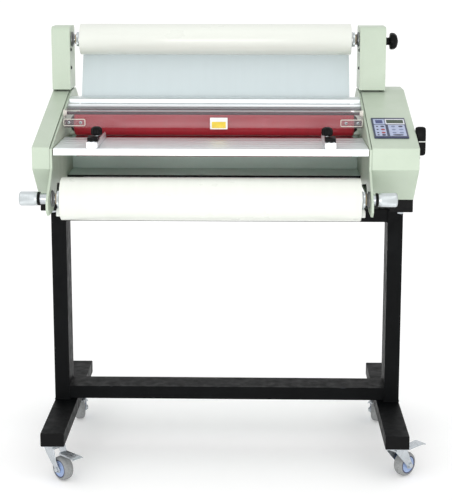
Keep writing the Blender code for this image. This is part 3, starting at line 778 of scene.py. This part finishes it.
def make_casters():
    for name in CASTERS:
        place, trail, axle_z = caster_place(name)
        swivel, wheel, brake = (f"caster_{name}_{part}" for part in ("swivel", "wheel", "brake"))
        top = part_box(f"caster_fork_{name}")[1].z
        yoke = piece(f"caster_{name}_yoke", lambda bm: add_yoke(bm, trail, axle_z, top), "zinc",
                     swivel, place, slot="zinc", stands_for=(f"caster_fork_{name}",))
        sheet = yoke.modifiers.new("sheet", "SOLIDIFY")
        sheet.thickness, sheet.offset = FORK_SHEET, 0.0
        soften(yoke, 0.0006)

        def hardware(bm):
            race = filleted([(0.0, 0.0150), (0.0, RACE_R), (0.0032, RACE_R), (0.0062, 0.0165),
                             (0.0062, 0.0060)], 0.0012, False)
            with placed(bm, moved(0, 0, top) @ axis_turn((0, 0, -1))):
                add_turned(bm, race, 48)
            add_hex_bolt(bm, (0, 0, top - 0.0068), (0, 0, -1), 0.011, 0.0045)
            cheek = FORK_INSIDE + FORK_SHEET + 0.0002
            for side in (-1, 1):
                add_hex_bolt(bm, (trail, side * cheek, axle_z), (0, side, 0), 0.0100, 0.0036)
            with placed(bm, moved(trail, 0, axle_z) @ turned_by(90, "Z")):
                add_rod(bm, -cheek, cheek, AXLE_R)

        piece(f"caster_{name}_race_and_bolts", hardware, "zinc", swivel, place, 0.0002, slot="zinc")
        axle = place @ moved(trail, 0, axle_z) @ turned_by(90, "Z")
        turned_piece(f"caster_{name}_tread", tread_profile(axle_z), 64, "tread", wheel, axle, closed=True,
                     slot="caster_tread", stands_for=(f"caster_wheel_{name}",))
        piece(f"caster_{name}_hub", add_caster_hub, "hub", wheel, axle, 0.0003, slot="caster_tread")
        half = TYRE_HALF - 0.0008
        band = [(-half, RIM_R), (half, RIM_R), (half + 0.0006, 0.0190), (half, 0.0176), (-half, 0.0176),
                (-half - 0.0006, 0.0190)]
        turned_piece(f"caster_{name}_ring", band, 64, "ring", wheel, axle, closed=True, slot="caster_tread")
        low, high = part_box(f"caster_brake_{name}")
        hinge = place @ moved(trail + 0.0035, 0, (low.z + high.z) / 2)
        piece(f"caster_{name}_pedal", add_pedal, "zinc", brake, hinge, slot="zinc",
              stands_for=(f"caster_brake_{name}",))


# ---------------------------------------------------------------- head details
def make_cover_details():
    """Screws on the covers' outer faces, and on the inner faces of the arms."""
    def screws(bm):
        for node, outward in (("side_cover_left", -1), ("side_housing_right", 1)):
            low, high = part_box(node)
            face = low.x if outward < 0 else high.x
            for y, z in ((low.y + 0.095, low.z + 0.016), (high.y - 0.016, low.z + 0.016),
                         (high.y - 0.016, high.z - 0.050), (low.y + 0.016, high.z - 0.115)):
                add_pan_screw(bm, (face, y, z), (outward, 0, 0))
        for node, inner in (("film_arm_left", 1), ("film_arm_right", -1)):
            low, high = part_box(node)
            face = high.x if inner > 0 else low.x
            for z in (low.z + 0.052, low.z + 0.095):
                add_pan_screw(bm, (face, low.y + 0.013, z), (inner, 0, 0), 0.0042)

    piece("cover_screws", screws, ["screw", "black"], "root", slot="steel")


def make_saddles():
    """Saddles in which the film shafts turn, on the arms and on the lower lugs, in the darker turned steel
    finish.
    """
    ring = filleted([(0.0, 0.0086), (0.0, 0.0180), (0.0034, 0.0180), (0.0044, 0.0135),
                     (0.0062, 0.0130), (0.0062, 0.0086)], 0.0006)

    def saddles(bm):
        for shaft in ("top", "lower"):
            low, high, at, _ = measures(f"film_shaft_{shaft}")
            for x, inward in ((low.x - 0.0006, 1), (high.x + 0.0006, -1)):
                with placed(bm, moved(x, at.y, at.z) @ axis_turn((inward, 0, 0))):
                    add_turned(bm, ring, 40, closed=True)

    piece("film_shaft_saddles", saddles, "gear", "root", slot="steel")


def deck_place():
    """Frame on the keypad's face: X across, Y up the slope, Z out of the deck."""
    low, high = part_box("control_panel")
    thick, long = 0.003, 0.109
    slope = math.asin(((high.z - low.z) - thick) / long)
    slope = math.asin(((high.z - low.z) - thick * math.cos(slope)) / long)
    return (Matrix.Translation((low + high) / 2) @ Matrix.Rotation(slope, 4, "X")
            @ moved(0, 0, thick / 2))


# Keypad layout in millimetres from the panel's middle: x, y, width, height
FIELDS = ((-21.5, -16.5, 25.0, 60.0), (15.5, -16.5, 37.0, 60.0), (-21.5, 31.5, 25.0, 29.0))
SMALL_WINDOW = (-21.5, 31.5, 16.0, 17.0)
WINDOW_FRAME, WINDOW = (14.0, 31.5, 43.0, 29.0), (14.0, 31.5, 38.0, 19.0)
KEY_ROWS = (5.0, -12.0, -29.0, -41.0)
KEY_SIDES = 28


def add_plate(bm, spot, height, corner=1.2):
    """Thin plate on the keypad, from a layout entry."""
    x, y, wide, tall = (v / 1000 for v in spot)
    outline = filleted(rectangle(x - wide / 2, x + wide / 2, y - tall / 2, y + tall / 2), corner / 1000)
    add_prism(bm, outline, 2, 0.0, height)


def add_key(bm, x, y, wide, tall, material):
    """Embossed membrane key: low oval dome."""
    rows = ((1.0, 0.0), (1.0, 0.00025), (0.86, 0.00055), (0.45, 0.00075))
    rings = []
    for share, height in rows:
        points = []
        for i in range(KEY_SIDES):
            angle = 2 * math.pi * i / KEY_SIDES
            points.append(bm.verts.new(((x + wide / 2 * share * math.cos(angle)) / 1000,
                                        (y + tall / 2 * share * math.sin(angle)) / 1000, height)))
        rings.append(points)
    for face in [bm.faces.new(rings[-1]), bm.faces.new(reversed(rings[0]))] + skin(bm, rings, True):
        face.material_index = material


def make_keypad():
    place = deck_place()

    def fields(bm):
        for spot in FIELDS:
            add_plate(bm, spot, 0.00022)

    piece("keypad_fields", fields, "lavender", "root", place, slot="keypad")
    for name, spot, height, corner, look in (("window_frame", WINDOW_FRAME, 0.0006, 1.2, "frame"),
                                             ("display", WINDOW, 0.0009, 0.8, "lcd"),
                                             ("small_display", SMALL_WINDOW, 0.0008, 0.8, "led")):
        piece(f"keypad_{name}", lambda bm: add_plate(bm, spot, height, corner), look, "root", place,
              0.0002, slot="keypad")

    def keys(bm):
        for row, y in enumerate(KEY_ROWS):
            add_key(bm, -28.0, y, 5.0, 5.0, 0)
            add_key(bm, -16.0, y, 9.0, 8.5, 1 if row in (1, 2) else 0)
            if row < 3:
                add_key(bm, 8.0, y, 9.0, 8.0, 2)
                add_key(bm, 24.5, y, 10.0, 8.0, 0 if row == 0 else 2)
        add_key(bm, 15.5, KEY_ROWS[-1], 24.0, 7.0, 0)

    lifted = place @ moved(0, 0, 0.0002)
    piece("keypad_keys", keys, ["key_dark", "key_red", "key_grey"], "root", lifted, slot="keypad")


GRIP_SIDES = 72


def make_lever():
    """Pressure lever: a waisted grip with a rounded face, on a hub against the cover."""
    low, high, at, half = measures("pressure_lever")
    deep, tall, wide = high.x - low.x, 2 * half, high.y - low.y

    def grip(bm):
        rows = []
        for level, share in ((0.0, 0.80), (0.10, 0.93), (0.30, 1.0), (0.72, 1.0), (0.90, 0.93), (1.0, 0.78)):
            ring = []
            for i in range(GRIP_SIDES):
                angle = 2 * math.pi * i / GRIP_SIDES
                z = half * math.sin(angle)
                waist = 1.0 - 0.20 * math.exp(-(z / (tall * 0.13)) ** 2)
                y = wide / 2 * math.copysign(abs(math.cos(angle)) ** 0.62, math.cos(angle)) * waist
                ring.append(bm.verts.new((deep * level, y * share, z * (0.5 + share / 2))))
            rows.append(ring)
        bm.faces.new(rows[0])
        bm.faces.new(reversed(rows[-1]))
        skin(bm, rows, True)

    place = Matrix.Translation((low.x, at.y, at.z))
    piece("pressure_lever_grip", grip, "black", "pressure_lever", place, 0.0008,
          slot="black_plastic", stands_for=("pressure_lever",))

    def collar(bm):
        add_box(bm, (deep * 0.28, deep + 0.0004), (-wide * 0.42, wide * 0.42), (-0.0011, 0.0011))
        add_turned(bm, [(-0.0001, 0.0105), (0.0016, 0.0105), (0.0016, 0.0070)], 40)

    piece("pressure_lever_mark", collar, "mark", "pressure_lever", place, 0.0003, slot="black_plastic")


# ---------------------------------------------------------------- rods, rails and the shield
def make_rods():
    for node, look in (("lower_idler_rod", "steel"), ("shield_rod", "screw")):
        low, high, at, radius = measures(node)
        piece(f"{node}_turned", lambda bm: add_rod(bm, low.x, high.x, radius, 32), look, "root",
              moved(0, at.y, at.z), slot="steel", stands_for=(node,))

    low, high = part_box("top_rail")
    rail = filleted(rectangle(low.y - 0.0160, low.y - 0.0025, low.z - 0.0080, low.z - 0.0005), 0.0015)
    piece("film_guide_rail", lambda bm: add_prism(bm, rail, 0, low.x, high.x), "table", "root",
          slot="aluminium")
    piece("film_guide_rod", lambda bm: add_rod(bm, low.x, high.x, 0.0030, 32), "gear", "root",
          moved(0, low.y - 0.0290, low.z - 0.0095), slot="aluminium")

    ends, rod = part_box("shield_rod"), middle("shield_rod")
    disc = filleted([(0.0, 0.0050), (0.0, 0.0082), (0.0022, 0.0082), (0.0034, 0.0066), (0.0080, 0.0058),
                     (0.0080, 0.0036)], 0.0005, False)

    def collars(bm):
        for x, outward in ((ends[0].x + 0.0006, 1), (ends[1].x - 0.0006, -1)):
            with placed(bm, moved(x, rod.y, rod.z) @ axis_turn((outward, 0, 0))):
                add_turned(bm, disc, 32)

    piece("shield_rod_collars", collars, "nylon", "root", slot="nylon")


GUARD_SHEET, BRACKET_SHEET, BRACKET_LONG = 0.0024, 0.0030, 0.0490


def make_shield():
    """Curved clear guard, its clear end brackets with screws, and a plain two-colour label."""
    low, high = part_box("roller_shield")
    rod = middle("shield_rod")
    top = Vector((rod.y, high.z))
    spine = [top, Vector((rod.y - 0.008, high.z - 0.0006)), Vector((rod.y - 0.0145, high.z - 0.0060)),
             Vector((rod.y - 0.0165, high.z - 0.0170)), Vector((low.y + 0.0016, low.z + 0.0006))]
    spine = [Vector(p) for p in filleted(spine, 0.008, False, 6)]

    def guard(bm):
        rows = [[bm.verts.new((x, p.x, p.y)) for p in spine]
                for x in [low.x + (high.x - low.x) * k / 24 for k in range(25)]]
        skin(bm, rows)

    item = piece("roller_guard", guard, "clear", "shield", slot="clear_shield", stands_for=("roller_shield",))
    sheet = item.modifiers.new("sheet", "SOLIDIFY")
    sheet.thickness, sheet.offset = GUARD_SHEET, 0.0
    soften(item, 0.0005)

    front = low.y - 0.0004
    z_low, z_high = low.z + 0.0055, low.z + 0.0205
    face = front - BRACKET_SHEET
    left, right = low.x + 0.0010, high.x - 0.0010
    ends = ((left, left + BRACKET_LONG), (right - BRACKET_LONG, right))
    outlines = [filleted(rectangle(*span, z_low, z_high), 0.003) for span in ends]

    def brackets(bm):
        for outline in outlines:
            add_prism(bm, outline, 1, face, front)

    def rims(bm):
        for outline in outlines:
            add_tube_path(bm, [Vector((x, face, z)) for x, z in outline], 0.0009)

    def screws(bm):
        for x_low, x_high in ends:
            for x in (x_low + 0.012, x_high - 0.010):
                add_pan_screw(bm, (x, face, (z_low + z_high) / 2), (0, -1, 0), 0.0036)

    piece("guard_brackets", brackets, "clear", "shield", bevel=0.0004, slot="clear_shield")
    piece("guard_bracket_rims", rims, "nylon", "shield", slot="nylon")
    piece("guard_screws", screws, ["zinc", "black"], "shield", slot="steel")

    slope = math.atan2(spine[-1].x - spine[-4].x, spine[-1].y - spine[-4].y)
    at = (spine[-1] + spine[-4]) / 2
    place = (moved((low.x + high.x) / 2 + 0.014, at.x - 0.0016, at.y) @ turned_by(90, "X")
             @ Matrix.Rotation(slope + math.pi, 4, "X"))

    def label(bm):
        add_prism(bm, filleted(rectangle(-0.020, 0.020, -0.0135, 0.0135), 0.0015), 2, 0.0, 0.0003)
        add_prism(bm, filleted(rectangle(-0.016, 0.016, -0.0110, 0.0040), 0.0008), 2, 0.0003, 0.0005, 1)

    piece("guard_label", label, ["label", "yellow"], "shield", place, slot="clear_shield")


# ---------------------------------------------------------------- rollers and film
def make_pressure_rollers():
    for level in ("lower", "upper"):
        node = f"pressure_roller_{level}"
        low, high, at, radius = measures(node)
        left, right = (corner.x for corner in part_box("film_roll_top"))
        place = moved(0, at.y, at.z)
        sleeve = filleted([(left, 0.0120), (left, radius - 0.003), (left + 0.003, radius),
                           (right - 0.003, radius), (right, radius - 0.003), (right, 0.0120)], 0.0012, False)
        turned_piece(f"{node}_sleeve", sleeve, 96, "red", f"{level}_roller", place, closed=True,
                     slot="silicone", stands_for=(node,))
        disc = radius - 0.0055
        core = [(low.x, 0.0088), (low.x + 0.0012, 0.0100), (left - 0.0080, 0.0100), (left - 0.0080, 0.0145),
                (left + 0.0004, disc), (right - 0.0004, disc), (right + 0.0080, 0.0145),
                (right + 0.0080, 0.0100), (high.x - 0.0012, 0.0100), (high.x, 0.0088)]
        # The cores take the dark screw finish as painted shade: their cones stand in for the shade at the
        # roller ends beside the side plates
        turned_piece(f"{node}_core", core, 64, "screw", f"{level}_roller", place, slot="steel")


CORE_INSIDE, CORE_OUTSIDE = 0.0147, 0.0178


def roll_end(x, inward, outer, steps=26):
    """End face of a wound roll: the windings stand in and out by fractions of a millimetre."""
    points = []
    for k in range(steps + 1):
        radius = CORE_OUTSIDE + (outer - CORE_OUTSIDE) * k / steps
        ripple = 0.00016 * math.sin(k * 2.4) + 0.00022 * math.sin(k * 0.9 + 1.0) + 0.0004
        points.append((x + inward * ripple, radius))
    points[-1] = (x + inward * 0.0005, outer - 0.0004)
    points.append((x + inward * 0.0011, outer))
    return points


def make_rolls():
    for level in ("top", "lower"):
        node = f"film_roll_{level}"
        low, high, at, outer = measures(node)
        place = moved(0, at.y, at.z)
        profile = roll_end(low.x, 1, outer) + roll_end(high.x, -1, outer)[::-1]
        turned_piece(f"{node}_windings", profile, 128, "wound", f"{level}_film", place, closed=True,
                     slot="film", stands_for=(node,))
        start, end = low.x - 0.0006, high.x + 0.0006
        tube = [(start, CORE_INSIDE), (start, CORE_OUTSIDE), (end, CORE_OUTSIDE), (end, CORE_INSIDE)]
        turned_piece(f"{node}_cardboard_core", tube, 64, "card", f"{level}_film", place, closed=True,
                     slot="film")


def add_wing_screw(bm, at):
    """Clamping screw through the chuck's collar, with a flat wing below."""
    half = [(0.0195, 0.0022), (0.0265, 0.0050), (0.0385, 0.0050), (0.0395, 0.0038)]
    wing = filleted([(x, -y) for x, y in half] + half[::-1], 0.002)
    with placed(bm, moved(*at) @ axis_turn((0, 0, -1)) @ turned_by(90, "X")):
        add_turned(bm, [(0.0120, 0.0026), (0.0220, 0.0026), (0.0220, 0.0018)], 16)
        add_prism(bm, wing, 2, -0.0018, 0.0018, 1)


def knurl(angle, along, radius):
    """Shape for add_turned: forty ribs on the wide part of a chuck's collar."""
    return radius + 0.0004 * math.cos(angle * 40) * (radius > 0.016)


def add_chuck(bm):
    """Core chuck seen from the roll outwards: plug with a flange, knurled collar, friction disc."""
    plug = [(-0.030, 0.0125), (-0.028, 0.0139), (0.0004, 0.0139), (0.0008, 0.0180),
            (0.0042, 0.0185), (0.0048, 0.0172), (0.0052, 0.0142)]
    collar = [(0.0052, 0.0120), (0.0052, 0.0168), (0.0094, 0.0168), (0.0100, 0.0130)]
    disc = [(0.0100, 0.0080), (0.0100, 0.0122), (0.0126, 0.0122), (0.0130, 0.0080)]
    add_turned(bm, filleted(plug, 0.0006, False), 48)
    add_turned(bm, collar, 160, shape=knurl, material=1)
    add_turned(bm, filleted(disc, 0.0005, False), 40, material=2)


def make_shafts():
    for level in ("top", "lower"):
        node = f"film_shaft_{level}"
        low, high, at, _ = measures(node)
        roll_low, roll_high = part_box(f"film_roll_{level}")
        place = moved(0, at.y, at.z)
        piece(f"{node}_bar", lambda bm: add_rod(bm, low.x, high.x, 0.0080, 40), "steel",
              f"{level}_film", place, slot="steel", stands_for=(node,))

        def chucks(bm):
            for face, out in ((roll_low.x, -1), (roll_high.x, 1)):
                with placed(bm, moved(face) @ axis_turn((out, 0, 0))):
                    add_chuck(bm)

        piece(f"{node}_chucks", chucks, ["block", "knob", "card"], f"{level}_film", place,
              slot="aluminium")

    low, high, at, _ = measures("film_roll_lower")

    def wings(bm):
        add_wing_screw(bm, (low.x - 0.0078, 0, 0))
        add_wing_screw(bm, (high.x + 0.0062, 0, 0))

    piece("film_chuck_wing_screws", wings, ["zinc", "mark"], "lower_film", moved(0, at.y, at.z), 0.0005,
          slot="nylon")


def tangent_point(outside, centre, radius):
    """Where a taut line from a point behind and below touches the back of a round roll."""
    reach = outside - centre
    angle = math.acos(radius / reach.length)
    return centre + Matrix.Rotation(angle, 2) @ reach.normalized() * radius


def make_web():
    """Taut film from the back of the top roll, under the rail, to the back of the upper roller."""
    low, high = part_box("film_web_top")
    rail_low, rail_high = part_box("top_rail")
    roll, roll_radius = measures("film_roll_top")[2:]
    roller = middle("pressure_roller_upper")
    bend = Vector((rail_high.y + 0.0112, rail_low.z - 0.0024))
    start = tangent_point(bend, roll.yz, roll_radius + 0.0006)
    end = Vector((roller.y + 0.0294, roller.z + 0.0061))
    path = [Vector(p) for p in filleted([start, bend, end], 0.006, False, 6)]
    fine = []
    for a, b in zip(path, path[1:]):
        count = max(1, int((b - a).length / 0.006))
        fine += [a.lerp(b, k / count) for k in range(count)]
    fine.append(path[-1])
    columns = 64
    length = sum((b - a).length for a, b in zip(fine, fine[1:]))

    def web(bm):
        rows, gone = [], 0.0
        for i, point in enumerate(fine):
            ahead = fine[min(i + 1, len(fine) - 1)] - fine[max(i - 1, 0)]
            across = Vector((ahead.y, -ahead.x)).normalized()
            gone += (point - fine[max(i - 1, 0)]).length
            fade = math.sin(math.pi * min(1.0, gone / length)) ** 0.5
            row = []
            for k in range(columns + 1):
                share = k / columns
                wave = 0.00035 * math.sin(share * 47 + gone * 18) + 0.00025 * math.sin(share * 91 - gone * 30)
                spot = point + across * wave * fade
                row.append(bm.verts.new((low.x + (high.x - low.x) * share, spot.x, spot.y)))
            rows.append(row)
        skin(bm, rows)

    item = piece("film_web", web, "web", "root", slot="film", stands_for=("film_web_top",))


# ---------------------------------------------------------------- knobs
def make_tension_knobs():
    """Straight-knurled aluminium knobs of the lower shaft, with a dark friction ring behind."""
    for side, out in SIDES:
        node = f"film_tension_knob_{side}"
        low, high, at, radius = measures(node)
        long = high.x - low.x
        shoulder = long - (0.0440 if out < 0 else 0.0455)
        place = moved(high.x if out < 0 else low.x, at.y, at.z) @ axis_turn((out, 0, 0))
        profile = [(shoulder + 0.004, 0.0080), (shoulder + 0.004, radius - 0.0012),
                   (shoulder + 0.005, radius - 0.0002), (shoulder + 0.010, radius - 0.0002),
                   (shoulder + 0.011, radius), (long - 0.003, radius), (long - 0.0006, radius - 0.0020),
                   (long, radius - 0.0034), (long, 0.0052), (long - 0.003, 0.0048)]

        def flutes(angle, along, r):
            return r - (0.00035 * (1 + math.cos(angle * 48)) if r > radius - 0.0001 else 0.0)

        turned_piece(f"{node}_grip", profile, 288, "knob", f"tension_knob_{side}", place, shape=flutes,
                     slot="aluminium", stands_for=(node,))
        neck = max(shoulder, 0.004) - 0.001

        def rings(bm):
            spacer = [(0.0, 0.0085), (0.0, 0.0120), (neck, 0.0120), (neck, 0.0088)]
            add_turned(bm, filleted(spacer, 0.0008, False), 48)
            pad = [(neck, 0.0090), (neck, 0.0150), (neck + 0.0045, 0.0150), (neck + 0.0045, 0.0090)]
            add_turned(bm, filleted(pad, 0.0006, False), 48, material=1)

        piece(f"{node}_rings", rings, ["zinc", "black"], f"tension_knob_{side}", place, slot="steel")


def lobed(count, depth, least):
    """Shape for add_turned: lobes on the wide part of a knob."""
    def shape(angle, along, radius):
        if radius < least:
            return radius
        wave = 0.5 - 0.5 * math.cos(angle * count)
        return radius - depth * (1 - wave ** 0.6)
    return shape


def make_brake_knob():
    low, high, at, radius = measures("film_brake_knob_top")
    long = high.x - low.x
    stem = [(0.0, 0.0090), (0.0012, 0.0098), (0.0050, 0.0088), (0.0095, 0.0090), (0.0108, 0.0120)]
    cap_back = [(0.0118, radius - 0.0018), (0.0140, radius - 0.0004), (0.0170, radius)]
    cap_front = [(0.0215, radius - 0.0006), (0.0250, radius - 0.0024), (0.0278, radius - 0.0060),
                 (long - 0.0006, 0.0085), (long, 0.0050)]
    place = moved(low.x, at.y, at.z)
    turned_piece("film_brake_knob", stem + cap_back + cap_front, 168, "black", "film_brake_knob", place,
                 shape=lobed(7, 0.0017, 0.017), slot="black_plastic", stands_for=("film_brake_knob_top",))
    cap = [(long - 0.0004, 0.0046), (long + 0.0006, 0.0040), (long + 0.0008, 0.0010)]
    turned_piece("film_brake_knob_cap", filleted(cap, 0.0004, False), 32, "screw", "film_brake_knob",
                 place, slot="steel")


def make_guide_knob(side):
    """Lobed clamp knob on a short steel stem."""
    low, high, at, half_tall = measures(f"side_guide_{side}_knob")
    radius, tall = (high.x - low.x) / 2, 2 * half_tall
    profile = [(0.0022, 0.0055), (0.0026, 0.0104), (0.0036, radius - 0.0008), (0.0060, radius - 0.0001),
               (tall - 0.0062, radius - 0.0003), (tall - 0.0034, radius - 0.0016),
               (tall - 0.0012, radius - 0.0046), (tall - 0.0002, 0.0056), (tall, 0.0030)]
    place = moved(at.x, at.y, low.z) @ axis_turn((0, 0, 1))

    def knob(bm):
        add_turned(bm, [(0.0, 0.0044), (0.0024, 0.0044), (0.0024, 0.0030)], 24, material=1)
        add_turned(bm, profile, 144, shape=lobed(6, 0.0017, 0.010))

    piece(f"side_guide_{side}_clamp_knob", knob, ["black", "steel"], f"guide_knob_{side}", place,
          slot="black_plastic", stands_for=(f"side_guide_{side}_knob",))


def make_guides():
    """Each guide: metal shoe and fence from the frame, a black clamp over its rear half, a knob."""
    fence, over = 0.0035, 0.0003
    for side, out in SIDES:
        low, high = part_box(f"side_guide_{side}")
        table_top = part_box("feed_table")[1].z
        face = high.x if out < 0 else low.x
        outer = (low.x if out < 0 else high.x) + out * over
        front, rear = low.y + 0.0170 - over, low.y + 0.0540 + over
        fence_top, top = table_top + 0.0131, high.z + over * 0.6
        body = f"side_guide_{side}"

        def clamp(bm):
            inner, lip = face + out * (fence + 0.0002), face + out * 0.0010
            outline = [(outer, table_top + over), (inner, table_top + over), (inner, fence_top),
                       (lip, fence_top), (lip, top), (outer, top)]
            add_prism(bm, outline, 1, front, rear)

        piece(f"{body}_clamp", clamp, "black", body, bevel=0.0010, slot="black_plastic")

        def strip(bm):
            foot, head = table_top + 0.0012, fence_top - 0.0004
            outline = filleted([(low.y + 0.006, foot), (high.y - 0.002, foot), (high.y - 0.008, head),
                                (low.y + 0.012, head)], 0.002)
            add_prism(bm, outline, 0, *sorted((face - out * 0.0002, face - out * 0.0014)))

        piece(f"{body}_fence_strip", strip, "rail", body, bevel=0.0004, slot="aluminium")

        def screws(bm):
            for reach in (0.0085, 0.0185):
                spot = (face + out * reach, low.y + 0.0085, table_top + 0.0132)
                add_pan_screw(bm, spot, (0, 0, 1), 0.0026)

        piece(f"{body}_screws", screws, ["zinc", "black"], body, slot="steel")
        make_guide_knob(side)


def make_pan_shadow_strip():
    """Black strip along the front edge of the pan under the table: painted shade, a dark sheet standing in
    for the shadow gap there.
    """
    low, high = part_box("base_pan")

    def lip(bm):
        outline = filleted(rectangle(low.y - 0.0016, low.y - 0.0001, low.z - 0.0004, high.z + 0.0006), 0.0005)
        add_prism(bm, outline, 0, low.x + 0.0002, high.x - 0.0002)

    piece("base_pan_shadow_strip", lip, "black", "root", slot="black_plastic")


def make_table_details():
    """Scale strip let into the front edge and plastic caps on the table's ends."""
    low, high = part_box("feed_table")

    end_face = filleted(rectangle(low.y + 0.0008, high.y - 0.0008, high.z - 0.0040, high.z - 0.0012), 0.0004)
    front_face = filleted(rectangle(low.y - 0.0006, low.y, low.z + 0.0012, high.z - 0.0012), 0.0003)

    def caps(bm):
        for x, out in ((low.x, -1), (high.x, 1)):
            add_prism(bm, end_face, 0, *sorted((x - out * 0.0001, x + out * 0.0007)))

    piece("feed_table_end_caps", caps, "nylon", "feed_table", slot="nylon")

    def strip(bm):
        add_prism(bm, front_face, 0, low.x + 0.001, high.x - 0.001)

    piece("feed_table_front_strip", strip, "label", "feed_table", slot="aluminium")


# ---------------------------------------------------------------- studio
def make_floor():
    """Wide, plain, pale floor."""
    bm = bmesh.new()
    bmesh.ops.create_circle(bm, cap_ends=True, segments=64, radius=FLOOR_R)
    item = bpy.data.objects.new("studio_floor", finish_mesh(bm, "studio_floor"))
    item.location.z = -FLOOR_DROP
    bpy.context.scene.collection.objects.link(item)
    look = Finish("studio_floor", 0.7)
    base = display((248, 248, 248))
    look.paint(look.mix(look.ease(look.noise(0.6, detail=2), 0, 1), base, shade(base, 0.99)))
    look.shader.inputs["Emission Color"].default_value = (1.0, 1.0, 1.0, 1.0)
    look.shader.inputs["Emission Strength"].default_value = FLOOR_GLOW
    item.data.materials.append(look.material)


def add_light(name, at, aim, size, power):
    data = bpy.data.lights.new(name, "AREA")
    data.shape, data.size, data.size_y = "RECTANGLE", *size
    data.energy = power
    item = bpy.data.objects.new(name, data)
    item.location = at
    item.rotation_euler = (Vector(aim) - Vector(at)).to_track_quat("-Z", "Y").to_euler()
    bpy.context.scene.collection.objects.link(item)


def make_studio():
    make_floor()
    world = bpy.data.worlds.new("studio")
    world.use_nodes = True
    background = world.node_tree.nodes["Background"]
    background.inputs["Color"].default_value = (1.0, 1.0, 1.0, 1.0)
    background.inputs["Strength"].default_value = SKY
    bpy.context.scene.world = world
    for light in LIGHTS:
        add_light(*light)
    bpy.context.scene.view_settings.view_transform = "Standard"


def make_camera():
    data = bpy.data.cameras.new("camera")
    data.lens, data.shift_y = CAMERA_LENS, CAMERA_SHIFT
    data.sensor_width = 36.0
    data.dof.use_dof = False
    item = bpy.data.objects.new("camera", data)
    item.location = CAMERA_AT
    item.rotation_euler = (math.radians(90 - CAMERA_DOWN), 0.0, math.radians(CAMERA_LEFT))
    bpy.context.scene.collection.objects.link(item)
    bpy.context.scene.camera = item


# ---------------------------------------------------------------- the whole scene
for old in list(bpy.data.objects):
    bpy.data.objects.remove(old)
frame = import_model()

make_camera()
make_studio()
dress_frame()
make_stand_details()
make_casters()
make_cover_details()
make_saddles()
make_keypad()
make_lever()
make_rods()
make_shield()
make_pressure_rollers()
make_rolls()
make_shafts()
make_web()
make_tension_knobs()
make_brake_knob()
make_guides()
make_table_details()
make_pan_shadow_strip()
